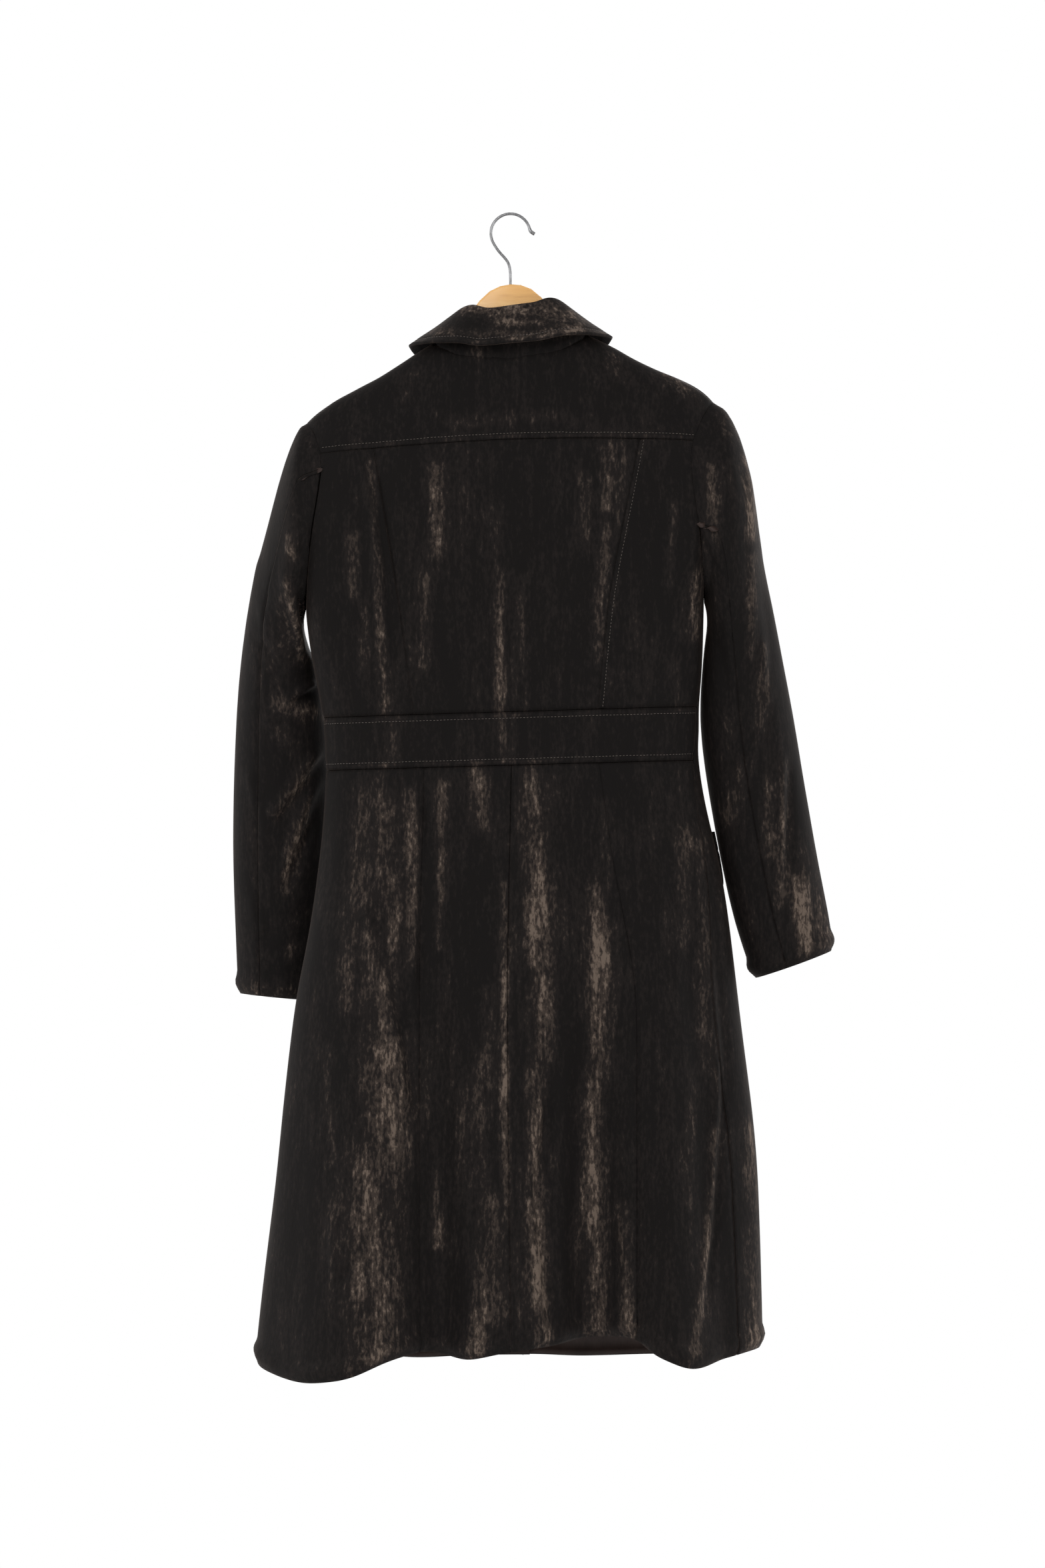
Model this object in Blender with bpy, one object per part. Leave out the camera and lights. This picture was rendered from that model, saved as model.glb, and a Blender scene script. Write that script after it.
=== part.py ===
"""Long velvet coat on a wooden hanger, in metres with +Z up.

The origin is the point inside the hook's crown where a rail carries it. The coat's back faces -Y.
The body's surface is a stack of level rings: a ring's angle is 0 at the back's centre, 90 degrees at
the right side and 180 degrees at the front's centre. Each cloth piece is a flat slab between its own
seams, warped onto that surface, onto a sleeve or onto the collar.
"""
import bisect
import math
from collections import namedtuple

import bmesh
import bpy
from mathutils import Vector

# Cloth and seams
CLOTH = 0.0030
LINING = 0.0015
SEAM_GAP = 0.0004
ARMHOLE_GAP = 0.0006
LAID_GAP = 0.0004
LINING_GAP = 0.0008
SOLVE_STEPS = 12
ANGLE_STEP = 1e-3
HEIGHT_STEP = 2e-4
TURN_STEP = 1e-3

# Rows and columns of the pieces' faces
SKIRT_ROWS = 13
BAND_ROWS = 2
BODICE_ROWS = 3
SHOULDER_ROWS = 4
YOKE_COLUMNS = 20
BAND_COLUMNS = 20
FRONT_COLUMNS = 12
COLLAR_OPEN_COLUMNS = 2
BODICE_CENTRE_COLUMNS = 10
BODICE_SIDE_COLUMNS = 5
SKIRT_SIDE_LEFT_COLUMNS = 13
SKIRT_CENTRE_LEFT_COLUMNS = 8
SKIRT_CENTRE_RIGHT_COLUMNS = 10
SKIRT_SIDE_RIGHT_COLUMNS = 9

# Rings of the body, from inside the collar to below the hem
Section = namedtuple("Section", "height left right back front squareness tilt")
BODY_SECTIONS = (
    Section(-0.100, -0.034, 0.034, 0.031, 0.033, 2.3, 0.054),
    Section(-0.124, -0.075, 0.075, 0.034, 0.036, 2.3, 0.054),
    Section(-0.162, -0.141, 0.141, 0.037, 0.039, 2.4, 0.054),
    Section(-0.201, -0.207, 0.206, 0.041, 0.043, 2.8, 0.052),
    Section(-0.243, -0.208, 0.200, 0.047, 0.051, 4.5, 0.034),
    Section(-0.310, -0.209, 0.198, 0.054, 0.061, 6.5, 0.031),
    Section(-0.402, -0.208, 0.197, 0.058, 0.067, 4.0, 0.030),
    Section(-0.460, -0.200, 0.195, 0.058, 0.066, 3.0, 0.030),
    Section(-0.507, -0.191, 0.192, 0.056, 0.062, 2.7, 0.030),
    Section(-0.561, -0.188, 0.192, 0.056, 0.062, 2.6, 0.028),
    Section(-0.635, -0.193, 0.206, 0.062, 0.068, 2.5, 0.024),
    Section(-0.705, -0.202, 0.220, 0.068, 0.074, 2.5, 0.020),
    Section(-0.807, -0.220, 0.233, 0.075, 0.082, 2.4, 0.014),
    Section(-0.970, -0.238, 0.251, 0.085, 0.092, 2.4, 0.006),
    Section(-1.134, -0.257, 0.257, 0.093, 0.101, 2.4, 0.000),
    Section(-1.200, -0.264, 0.258, 0.096, 0.104, 2.4, 0.000),
)

# Deep folds of the skirt, which grow from their top to the hem
Fold = namedtuple("Fold", "is_back top_x hem_x left_width right_width top_height push")
FOLDS = (
    Fold(True, -0.120, -0.142, 0.110, 0.040, -0.580, 0.030),
    Fold(True, -0.078, -0.073, 0.032, 0.038, -0.600, -0.020),
    Fold(True, 0.006, 0.012, 0.048, 0.034, -0.600, 0.014),
    Fold(True, 0.078, 0.084, 0.042, 0.044, -0.580, -0.030),
    Fold(True, 0.132, 0.162, 0.038, 0.060, -0.580, 0.022),
    Fold(False, -0.120, -0.160, 0.060, 0.060, -0.600, 0.022),
    Fold(False, -0.078, -0.092, 0.038, 0.042, -0.640, -0.016),
    Fold(False, 0.074, 0.088, 0.040, 0.040, -0.620, -0.018),
    Fold(False, 0.120, 0.158, 0.052, 0.060, -0.600, 0.020),
)
FOLD_GROWTH = 1.15
FOLD_TOP_WIDTH = 0.7
FOLD_SIDE_FADE = 0.5
FOLD_HEM = -1.165

# The hem's height round the ring
Edge = namedtuple("Edge", "degrees height")
HEM = (
    Edge(-180, -1.172),
    Edge(-140, -1.174),
    Edge(-112, -1.172),
    Edge(-90, -1.167),
    Edge(-66, -1.175),
    Edge(-46, -1.182),
    Edge(-34, -1.174),
    Edge(-24, -1.155),
    Edge(-19, -1.151),
    Edge(-10, -1.158),
    Edge(0, -1.149),
    Edge(9, -1.144),
    Edge(18, -1.138),
    Edge(27, -1.136),
    Edge(31, -1.151),
    Edge(42, -1.167),
    Edge(53, -1.160),
    Edge(68, -1.154),
    Edge(90, -1.152),
    Edge(112, -1.162),
    Edge(140, -1.172),
    Edge(180, -1.172),
)

# The neckline's height, the same on both sides
NECK = (
    Edge(0, -0.147),
    Edge(27, -0.141),
    Edge(49, -0.132),
    Edge(90, -0.124),
    Edge(118, -0.128),
    Edge(142, -0.145),
    Edge(159, -0.175),
    Edge(180, -0.205),
)

# Level seams
YOKE_SEAM = -0.231
YOKE_DROP = 0.012
BAND_TOP = -0.507
BAND_BOTTOM = -0.561

# Upright seams of the back, as a place across for each height
Seam = namedtuple("Seam", "height x")
BODICE_LEFT = (Seam(-0.231, -0.140), Seam(-0.287, -0.131), Seam(-0.400, -0.113), Seam(-0.508, -0.098))
BODICE_RIGHT = (Seam(-0.231, 0.132), Seam(-0.287, 0.121), Seam(-0.400, 0.100), Seam(-0.508, 0.089))
SKIRT_LEFT = (Seam(-0.561, -0.088), Seam(-0.797, -0.092), Seam(-1.150, -0.091))
SKIRT_CENTRE = (Seam(-0.561, 0.001), Seam(-0.797, -0.003), Seam(-1.150, 0.000))
SKIRT_RIGHT = (Seam(-0.561, 0.090), Seam(-0.640, 0.101), Seam(-0.820, 0.127), Seam(-1.150, 0.127))

# Side seams below the armholes, as a place front to back for each height
Side = namedtuple("Side", "height y")
SIDE_LEFT = (Side(-0.402, 0.000), Side(-0.561, 0.014), Side(-0.800, 0.022), Side(-1.150, 0.026))
SIDE_RIGHT = (Side(-0.402, 0.000), Side(-0.561, -0.019), Side(-0.800, -0.043), Side(-1.150, -0.051))

# Armholes, and the places round them where pieces have a row or a column
ARMHOLE_TOP = -0.201
ARMHOLE_BOTTOM = -0.402
ARMHOLE_TURNS = (180, 155, 130, 102, 82, 62)
YOKE_TURNS = (36, 18, 0)
ARMHOLE_BACK = 0.044
ARMHOLE_FRONT = 0.047
MITRE_FROM = -0.2
MITRE_OVER = 0.6

# Fronts
LAP = 0.020
LAP_RAMP_START = 0.125
LAP_RAMP_END = 0.058

# Sleeves, from the armhole to the cuff: outer and inner edge, half depths and middle
Sleeve = namedtuple("Sleeve", "outer_x outer_z inner_x inner_z back front middle_y")
SLEEVE_LEFT = (
    Sleeve(-0.2070, -0.2118, -0.2080, -0.4082, 0.044, 0.047, 0.000),
    Sleeve(-0.2155, -0.2175, -0.2098, -0.4150, 0.049, 0.051, 0.003),
    Sleeve(-0.2316, -0.2564, -0.2105, -0.4210, 0.056, 0.057, 0.009),
    Sleeve(-0.2515, -0.3280, -0.2088, -0.4330, 0.057, 0.057, 0.021),
    Sleeve(-0.2715, -0.4080, -0.2003, -0.4560, 0.052, 0.053, 0.040),
    Sleeve(-0.2815, -0.5000, -0.1900, -0.5080, 0.047, 0.048, 0.054),
    Sleeve(-0.2855, -0.5800, -0.1850, -0.5780, 0.043, 0.043, 0.061),
    Sleeve(-0.2865, -0.6500, -0.1850, -0.6500, 0.040, 0.040, 0.065),
    Sleeve(-0.2845, -0.7220, -0.1870, -0.7260, 0.037, 0.037, 0.069),
    Sleeve(-0.2815, -0.7960, -0.1900, -0.8040, 0.035, 0.035, 0.071),
)
SLEEVE_RIGHT = (
    Sleeve(0.2060, -0.1903, 0.1970, -0.3961, 0.044, 0.047, 0.000),
    Sleeve(0.2210, -0.2000, 0.1995, -0.4030, 0.049, 0.051, 0.002),
    Sleeve(0.2420, -0.2500, 0.2003, -0.4110, 0.056, 0.057, 0.006),
    Sleeve(0.2545, -0.3280, 0.1996, -0.4260, 0.058, 0.058, 0.011),
    Sleeve(0.2695, -0.4080, 0.1966, -0.4530, 0.055, 0.056, 0.017),
    Sleeve(0.2880, -0.5000, 0.1938, -0.5080, 0.049, 0.050, 0.021),
    Sleeve(0.3010, -0.5800, 0.2015, -0.5820, 0.045, 0.045, 0.022),
    Sleeve(0.3135, -0.6500, 0.2150, -0.6560, 0.041, 0.041, 0.021),
    Sleeve(0.3255, -0.7120, 0.2295, -0.7220, 0.038, 0.038, 0.020),
    Sleeve(0.3305, -0.7500, 0.2485, -0.7790, 0.036, 0.036, 0.019),
)
SLEEVE_KNOTS = (0.0, 0.5, 1.0, 1.6, 2.3, 3.0, 3.7, 4.4, 5.1, 5.8, 6.5, 7.2, 8.0, 9.0)
SLEEVE_SEAMS_LEFT = (62, 205)
SLEEVE_SEAMS_RIGHT = (102, 230)

# Collar, by the angle round the neck from the back's centre; the fold is an oval of its own
Collar = namedtuple("Collar", "degrees round_fold stand spread fall")
COLLAR = (
    Collar(0, 0, 0.047, 30, 0.042),
    Collar(49, 46, 0.036, 42, 0.050),
    Collar(90, 90, 0.022, 56, 0.057),
    Collar(120, 108, 0.022, 56, 0.060),
    Collar(142, 126, 0.026, 46, 0.064),
    Collar(160, 147, 0.022, 36, 0.068),
    Collar(176, 174, 0.016, 26, 0.072),
)
FOLD_HALF = 0.053
FOLD_BACK = 0.029
FOLD_FRONT = 0.037
ROLL_INNER = 0.0018
STAND_KNOTS = (0.0, 0.5, 1.0)
FALL_KNOTS = (0.0, 0.3, 0.65, 1.0, 1.35, 1.7, 2.0)

# Pocket flaps on the fronts
FLAP_TOP = -0.634
FLAP_HEIGHT = 0.058
FLAP_LEFT = (-114, -150)
FLAP_RIGHT = (98, 138)
FLAP_CORNER = 6
FLAP_END_SHARE = 0.45
FLAP_COLUMNS = 10
FLAP_ROWS = 2

# Lining of the front skirts
LINING_LOW_SHARE = 0.5
LINING_COLUMNS = 9

# Buttons down the front's centre
BUTTON_COUNT = 5
BUTTON_FIRST = -0.290
BUTTON_PITCH = 0.078
BUTTON_RADIUS = 0.011
BUTTON_HALF_THICKNESS = 0.0034
BUTTON_SIDES = 12
BUTTON_RINGS = 6

# Hanger
HANGER_HALF_THICKNESS = 0.006
HANGER_HALF_SPAN = 0.190
HANGER_TILT = 0.054
HANGER_EDGE = 0.0022
HANGER_EDGE_STEPS = 2
HANGER_SHARP = 50
HANGER_COLUMNS = 36
Profile = namedtuple("Profile", "x top bottom")
HANGER_PROFILE = (
    Profile(0.000, -0.0707, -0.138),
    Profile(0.012, -0.0723, -0.139),
    Profile(0.024, -0.0785, -0.141),
    Profile(0.034, -0.0885, -0.1435),
    Profile(0.043, -0.1010, -0.147),
    Profile(0.052, -0.1130, -0.151),
    Profile(0.075, -0.1330, -0.160),
    Profile(0.130, -0.1650, -0.186),
    Profile(0.190, -0.2010, -0.212),
)

# Hook
WIRE = 0.0016
WIRE_ROUNDNESS = 2
WELD = 1e-6
HOOK_RADIUS = 0.0201
HOOK_TIP = 6
HOOK_HEEL = 208
HOOK_ARC_POINTS = 20
HOOK_NECK_POINTS = 9
HOOK_NECK_PULL = 0.020
HOOK_FOOT = -0.062
HOOK_END = -0.095
HOOK_KNOB = 1.35
HOOK_FLICK = Vector((0.0048, 0, -0.0030))
BORE_GAP = 0.0004
BORE_SIDES = 12

Finish = namedtuple("Finish", "colour roughness metallic")
VELVET = Finish((0.013, 0.0095, 0.0080), 0.85, 0.0)
SATIN = Finish((0.020, 0.011, 0.0085), 0.45, 0.0)
HONEY_WOOD = Finish((0.52, 0.33, 0.14), 0.45, 0.0)
STEEL = Finish((0.55, 0.55, 0.55), 0.3, 1.0)


def lerp(start, end, share):
    return start + (end - start) * share


def smooth(share):
    share = min(max(share, 0.0), 1.0)
    return share * share * (3 - 2 * share)


def curve_through(places, values):
    """A smooth curve through a table's rows without overshoot, which goes on straight past its ends."""
    order = sorted(range(len(places)), key=lambda i: places[i])
    xs = [places[i] for i in order]
    ys = [values[i] for i in order]
    slopes = [(ys[i + 1] - ys[i]) / (xs[i + 1] - xs[i]) for i in range(len(xs) - 1)]
    tangents = [slopes[0]]
    for before, after in zip(slopes, slopes[1:]):
        same_way = before * after > 0
        tangents.append(2 * before * after / (before + after) if same_way else 0.0)
    tangents.append(slopes[-1])

    def at(x):
        if x <= xs[0]:
            return ys[0] + tangents[0] * (x - xs[0])
        if x >= xs[-1]:
            return ys[-1] + tangents[-1] * (x - xs[-1])
        i = bisect.bisect_right(xs, x) - 1
        step = xs[i + 1] - xs[i]
        t = (x - xs[i]) / step
        rise = t * t * (3 - 2 * t)
        lean_start = t * (1 - t) ** 2 * step * tangents[i]
        lean_end = t * t * (t - 1) * step * tangents[i + 1]
        return lerp(ys[i], ys[i + 1], rise) + lean_start + lean_end

    return at


def table_curves(rows, key):
    """One curve for each column of a table, along its key column."""
    places = [getattr(row, key) for row in rows]
    names = [name for name in rows[0]._fields if name != key]
    return {name: curve_through(places, [getattr(row, name) for row in rows]) for name in names}


def row_curves(rows):
    """One curve for each column of a table, along its row number."""
    return {
        name: curve_through(range(len(rows)), [getattr(row, name) for row in rows])
        for name in rows[0]._fields
    }


body = table_curves(BODY_SECTIONS, "height")
hem_curve = table_curves(HEM, "degrees")["height"]
neck_curve = table_curves(NECK, "degrees")["height"]
collar = table_curves(COLLAR, "degrees")
hanger = table_curves(HANGER_PROFILE, "x")
sleeves = {"left": row_curves(SLEEVE_LEFT), "right": row_curves(SLEEVE_RIGHT)}
side_seams = {
    "left": table_curves(SIDE_LEFT, "height")["y"],
    "right": table_curves(SIDE_RIGHT, "height")["y"],
}
SIGN = {"left": -1, "right": 1}


def wrapped(angle):
    """The angle in degrees from -180 to 180."""
    return (math.degrees(angle) + 180) % 360 - 180


def fold_push(x, height, is_back):
    """How far the folds push the cloth out at a place of the skirt."""
    push = 0.0
    for fold in FOLDS:
        if fold.is_back != is_back or height >= fold.top_height:
            continue
        grown = (fold.top_height - height) / (fold.top_height - FOLD_HEM)
        crest = lerp(fold.top_x, fold.hem_x, grown)
        width = fold.left_width if x < crest else fold.right_width
        off = (x - crest) / (width * lerp(FOLD_TOP_WIDTH, 1, grown))
        if abs(off) < 1:
            push += fold.push * grown**FOLD_GROWTH * (1 - off * off) ** 2
    return push


def ring_half(height):
    return (body["right"](height) - body["left"](height)) / 2


def body_point(angle, height):
    """A point of the coat's outside, on the ring at this height."""
    power = body["squareness"](height)
    is_back = math.cos(angle) >= 0
    depth = -body["back"](height) if is_back else body["front"](height)
    half = ring_half(height)
    reach = (abs(math.sin(angle)) ** power + abs(math.cos(angle)) ** power) ** (-1 / power)
    across = reach * math.sin(angle)
    bulge = reach * abs(math.cos(angle))
    x = (body["left"](height) + body["right"](height)) / 2 + half * across
    y = depth * bulge
    out_x = math.copysign(abs(across) ** (power - 1), across) / half
    out_y = bulge ** (power - 1) / depth
    push = fold_push(x, height, is_back) * smooth(bulge / FOLD_SIDE_FADE) / math.hypot(out_x, out_y)
    x += push * out_x
    y += push * out_y
    return Vector((x, y, height + body["tilt"](height) * x))


def ring_rate(angle, height):
    """The step along a ring for each radian."""
    step = body_point(angle + ANGLE_STEP, height) - body_point(angle - ANGLE_STEP, height)
    return step / (2 * ANGLE_STEP)


def body_normal(angle, height):
    rise = body_point(angle, height + HEIGHT_STEP) - body_point(angle, height - HEIGHT_STEP)
    return ring_rate(angle, height).cross(rise).normalized()


def rim(share, height):
    """The ring's other share, front to back for one across, or the other way round."""
    power = body["squareness"](height)
    return max(1 - abs(share) ** power, 0.0) ** (1 / power)


def angle_at(x, height):
    """The angle on the back where the ring is at x."""
    across = (x - (body["left"](height) + body["right"](height)) / 2) / ring_half(height)
    return math.atan2(across, rim(across, height))


def angle_in(height, opening, is_back):
    """The angle on the right side where the ring is this far from the side, to the back or the front."""
    bulge = opening / body["back" if is_back else "front"](height)
    return math.atan2(rim(bulge, height), bulge if is_back else -bulge)


def hem(angle):
    return hem_curve(wrapped(angle))


def neck(angle):
    return neck_curve(abs(wrapped(angle)))


def yoke_seam(angle):
    return YOKE_SEAM - YOKE_DROP * math.sin(angle) ** 2


def level(value):
    """A level seam at one height, or an upright edge at one angle."""
    return lambda place: value


def upright(rows):
    """An upright seam of the back."""
    place = table_curves(rows, "height")["x"]
    return lambda height: angle_at(place(height), height)


def armhole_height(degrees):
    """The height on the armhole's edge at a turn from the shoulder."""
    return lerp(ARMHOLE_BOTTOM, ARMHOLE_TOP, (1 + math.cos(math.radians(degrees))) / 2)


def armhole_share(height):
    """1 at the armhole's top and -1 at its bottom."""
    return (2 * height - ARMHOLE_TOP - ARMHOLE_BOTTOM) / (ARMHOLE_TOP - ARMHOLE_BOTTOM)


def armhole_angle(height, is_back):
    """The angle of the armhole's edge on the right side."""
    share = armhole_share(height)
    opening = (ARMHOLE_BACK if is_back else ARMHOLE_FRONT) * math.sqrt(max(1 - share * share, 0.0))
    return angle_in(height, opening, is_back)


def outer_edge(side, is_back):
    """The side edge of a back or front piece: side seam, armhole, then shoulder line."""

    def at(height):
        if height < ARMHOLE_BOTTOM:
            y = side_seams[side](height)
            return SIGN[side] * angle_in(height, abs(y), y < 0)
        if height < ARMHOLE_TOP:
            return SIGN[side] * armhole_angle(height, is_back)
        return SIGN[side] * math.pi / 2

    return at


def front_edge(side):
    """The edge of a front, past the centre by the lap."""

    def at(height):
        return SIGN[side] * (math.pi + angle_at(LAP, height))

    return at


def lap_sink(angle, height):
    """How far the left front lies under the right one."""
    x = body_point(angle, height).x
    return (CLOTH + 2 * LAID_GAP) * smooth((x + LAP_RAMP_START) / (LAP_RAMP_START - LAP_RAMP_END))


def armhole_point(side, turn):
    """The armhole's edge, from the shoulder (turn 0) through the back to the underarm and up the front."""
    height = lerp(ARMHOLE_BOTTOM, ARMHOLE_TOP, (1 + math.cos(turn)) / 2)
    return body_point(SIGN[side] * armhole_angle(height, math.sin(turn) >= 0), height)


def sleeve_ring(side, turn, along):
    row = {name: curve(along) for name, curve in sleeves[side].items()}
    share = (1 + math.cos(turn)) / 2
    depth = row["back"] if math.sin(turn) >= 0 else row["front"]
    return Vector(
        (
            lerp(row["inner_x"], row["outer_x"], share),
            row["middle_y"] - depth * math.sin(turn),
            lerp(row["inner_z"], row["outer_z"], share),
        )
    )


def sleeve_point(side, turn, along):
    """A point of the sleeve's outside, which starts on the armhole's edge."""
    start = armhole_point(side, turn) + Vector((SIGN[side] * ARMHOLE_GAP, 0, 0))
    return sleeve_ring(side, turn, along) + (start - sleeve_ring(side, turn, 0)) * (1 - smooth(along))


def sleeve_normal(side, turn, along):
    round_it = sleeve_point(side, turn + TURN_STEP, along) - sleeve_point(side, turn - TURN_STEP, along)
    down = sleeve_point(side, turn, along + TURN_STEP) - sleeve_point(side, turn, along - TURN_STEP)
    return SIGN[side] * round_it.cross(down).normalized()


def mitred(own, other, share):
    """The direction through the cloth at the armhole, where the shoulder's two pieces meet at a corner."""
    weight = smooth((share - MITRE_FROM) / MITRE_OVER)
    return own.lerp((own + other).normalized(), weight).normalized()


def armhole_turn(height, is_back):
    turn = math.acos(min(max(armhole_share(height), -1.0), 1.0))
    return turn if is_back else -turn


def principled(name, finish):
    material = bpy.data.materials.new(name)
    material.use_nodes = True
    shader = material.node_tree.nodes["Principled BSDF"]
    shader.inputs["Base Color"].default_value = (*finish.colour, 1)
    shader.inputs["Roughness"].default_value = finish.roughness
    shader.inputs["Metallic"].default_value = finish.metallic
    material.diffuse_color = (*finish.colour, 1)
    return material


def new_part(name, mesh, finish, collection):
    mesh.materials.append(principled(name, finish))
    part = bpy.data.objects.new(name, mesh)
    collection.objects.link(part)
    return part


def even(count):
    return tuple(i / count for i in range(count + 1))


def shares(values):
    """The values as shares of the way from the first to the last."""
    return tuple((value - values[0]) / (values[-1] - values[0]) for value in values)


def slab(across, along, place):
    """A closed slab on the knots across and along, each corner moved to place(across, along, layer).

    Every face is split the same way, so that pieces that meet or lie on each other have the same facets.
    """
    bm = bmesh.new()
    columns = len(across) - 1
    rows = len(along) - 1
    bmesh.ops.create_grid(bm, x_segments=columns, y_segments=rows, size=0.5)
    grown = bmesh.ops.extrude_face_region(bm, geom=bm.faces[:])
    lifted = [item for item in grown["geom"] if isinstance(item, bmesh.types.BMVert)]
    bmesh.ops.translate(bm, vec=(0, 0, 1), verts=lifted)
    bmesh.ops.recalc_face_normals(bm, faces=bm.faces[:])
    knots = {}
    for vert in bm.verts:
        knots[vert] = (round((vert.co.x + 0.5) * columns), round((vert.co.y + 0.5) * rows))
    order = {vert: sum(knots[vert]) + round(vert.co.z) for vert in bm.verts}
    for face in bm.faces[:]:
        bmesh.utils.face_split(face, min(face.verts, key=order.get), max(face.verts, key=order.get))
    for vert, (i, j) in knots.items():
        vert.co = place(across[i], along[j], vert.co.z)
    if bm.calc_volume(signed=True) < 0:
        bmesh.ops.reverse_faces(bm, faces=bm.faces[:])
    return bm


def finished(bm, name):
    mesh = bpy.data.meshes.new(name)
    bm.to_mesh(mesh)
    bm.free()
    return mesh


def on_seam(left, right, seam, a):
    """The angle and height on a level seam, at a share of the way between two upright edges."""
    angle = lerp(left(BAND_TOP), right(BAND_TOP), a)
    for _ in range(SOLVE_STEPS):
        height = seam(angle)
        angle = lerp(left(height), right(height), a)
    return angle, height


def panel(across, along, left, right, bottom, top, outside=0.0, inside=CLOTH, sink=None, armholes=()):
    """A cloth piece of the body between two edges and two level seams, from one depth to another.

    armholes names the edges (0 left, 1 right) that lie at an armhole, with the side and if it is the back.
    """
    at_armhole = {edge: (side, is_back) for edge, side, is_back in armholes}
    ends = {a: [on_seam(left, right, seam, a)[1] for seam in (bottom, top)] for a in across}

    def place(a, b, layer):
        low, high = ends[a]
        height = lerp(low, high, b)
        angle = lerp(left(height), right(height), a)
        way = math.copysign(1, right(height) - left(height))
        angle += way * (0.5 - a) * SEAM_GAP / ring_rate(angle, height).length
        height += (0.5 - b) * SEAM_GAP
        out = body_normal(angle, height)
        if a in at_armhole and ARMHOLE_BOTTOM < height <= ARMHOLE_TOP:
            side, is_back = at_armhole[a]
            beyond = sleeve_normal(side, armhole_turn(height, is_back), 0)
            out = mitred(out, beyond, armhole_share(height))
        depth = lerp(outside, inside, layer) + (sink(angle, height) if sink else 0.0)
        return body_point(angle, height) - out * depth

    return slab(across, along, place)


def sleeve(side, start, end):
    """A sleeve piece between two seams, given as turns round the sleeve in degrees."""

    def place(a, along, layer):
        turn = math.radians(lerp(start, end, a))
        step = sleeve_point(side, turn + TURN_STEP, along) - sleeve_point(side, turn, along)
        turn += (0.5 - a) * SEAM_GAP * TURN_STEP / step.length
        out = sleeve_normal(side, turn, along)
        height = armhole_height(math.degrees(turn))
        body_out = body_normal(SIGN[side] * armhole_angle(height, math.sin(turn) >= 0), height)
        out = mitred(out, body_out, math.cos(turn)).lerp(out, smooth(along)).normalized()
        return sleeve_point(side, turn, along) - out * CLOTH * layer

    turns = {turn % 360 for turn in armhole_turns} | {-turn % 360 for turn in armhole_turns}
    turns |= {turn + 360 for turn in turns}
    inside = sorted(turn for turn in turns if start < turn < end)
    knots = [(turn - start) / (end - start) for turn in [start] + inside + [end]]
    return slab(knots, SLEEVE_KNOTS, place)


def collar_size(column, angle):
    return collar[column](abs(math.degrees(angle)))


def fold_line(angle):
    """The collar's fold and the way out from it."""
    turn = math.copysign(math.radians(collar_size("round_fold", angle)), angle)
    depth = FOLD_BACK if math.cos(turn) >= 0 else FOLD_FRONT
    height = body_point(angle, neck(angle)).z + collar_size("stand", angle)
    fold = Vector((FOLD_HALF * math.sin(turn), -depth * math.cos(turn), height))
    return fold, Vector((math.sin(turn) / FOLD_HALF, -math.cos(turn) / depth, 0)).normalized()


def stand_line(angle, share):
    """The stand's outside, from the neckline (share 0) to the fold (1)."""
    base = body_point(angle, neck(angle)) + Vector((0, 0, SEAM_GAP))
    return base.lerp(fold_line(angle)[0], share)


def stand_face(angle, share):
    """The way up the stand and the way out of it."""
    along = stand_line(angle + ANGLE_STEP, share) - stand_line(angle - ANGLE_STEP, share)
    rise = stand_line(angle, 1) - stand_line(angle, 0)
    return rise.normalized(), along.cross(rise).normalized()


def stand_point(angle, share, depth):
    """A point of the stand, whose lower rim lies along the neckline's."""
    out = body_normal(angle, neck(angle)).lerp(stand_face(angle, share)[1], share).normalized()
    return stand_line(angle, share) - out * depth


def fall_point(angle, path, depth):
    """A point of the fall, which rolls over the stand's top (path 0 to 1) and goes down to its edge (2)."""
    rise, face = stand_face(angle, 1)
    fold, out = fold_line(angle)
    up = Vector((0, 0, 1))
    lean = math.atan2(-rise.dot(out), rise.dot(up))
    spread = math.radians(collar_size("spread", angle))
    middle = fold + face * ROLL_INNER + rise * SEAM_GAP
    beta = lerp(math.pi + lean, spread, min(path, 1))
    rolled = middle + (out * math.cos(beta) + up * math.sin(beta)) * (ROLL_INNER + CLOTH - depth)
    down = out * math.sin(spread) - up * math.cos(spread)
    return rolled + down * max(path - 1, 0) * collar_size("fall", angle)


def neck_angles(columns, left, right):
    """The angles where the columns of a piece meet the neckline."""
    return [on_seam(left, right, neck, a)[0] for a in columns]


def flap(degrees):
    """A pocket flap with rounded lower corners, laid on a front."""
    start, end = (math.radians(value) for value in degrees)

    def bottom(angle):
        off = abs(2 * (angle - start) / (end - start) - 1)
        return FLAP_TOP - FLAP_HEIGHT * lerp(FLAP_END_SHARE, 1, max(1 - off**FLAP_CORNER, 0))

    return panel(
        even(FLAP_COLUMNS),
        even(FLAP_ROWS),
        level(start),
        level(end),
        bottom,
        level(FLAP_TOP),
        -LAID_GAP - CLOTH,
        -LAID_GAP,
    )


def front_lining(side, edge, rows):
    """The lining of a front skirt, on the front's own rows and columns."""
    low = (rows[1] * LINING_LOW_SHARE,)
    return panel(
        front_columns[1:LINING_COLUMNS],
        low + rows[1:SKIRT_ROWS],
        edge,
        front_edge(side),
        hem,
        neck,
        CLOTH + LINING_GAP,
        CLOTH + LINING_GAP + LINING,
        lap_sink if side == "left" else None,
    )


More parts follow.
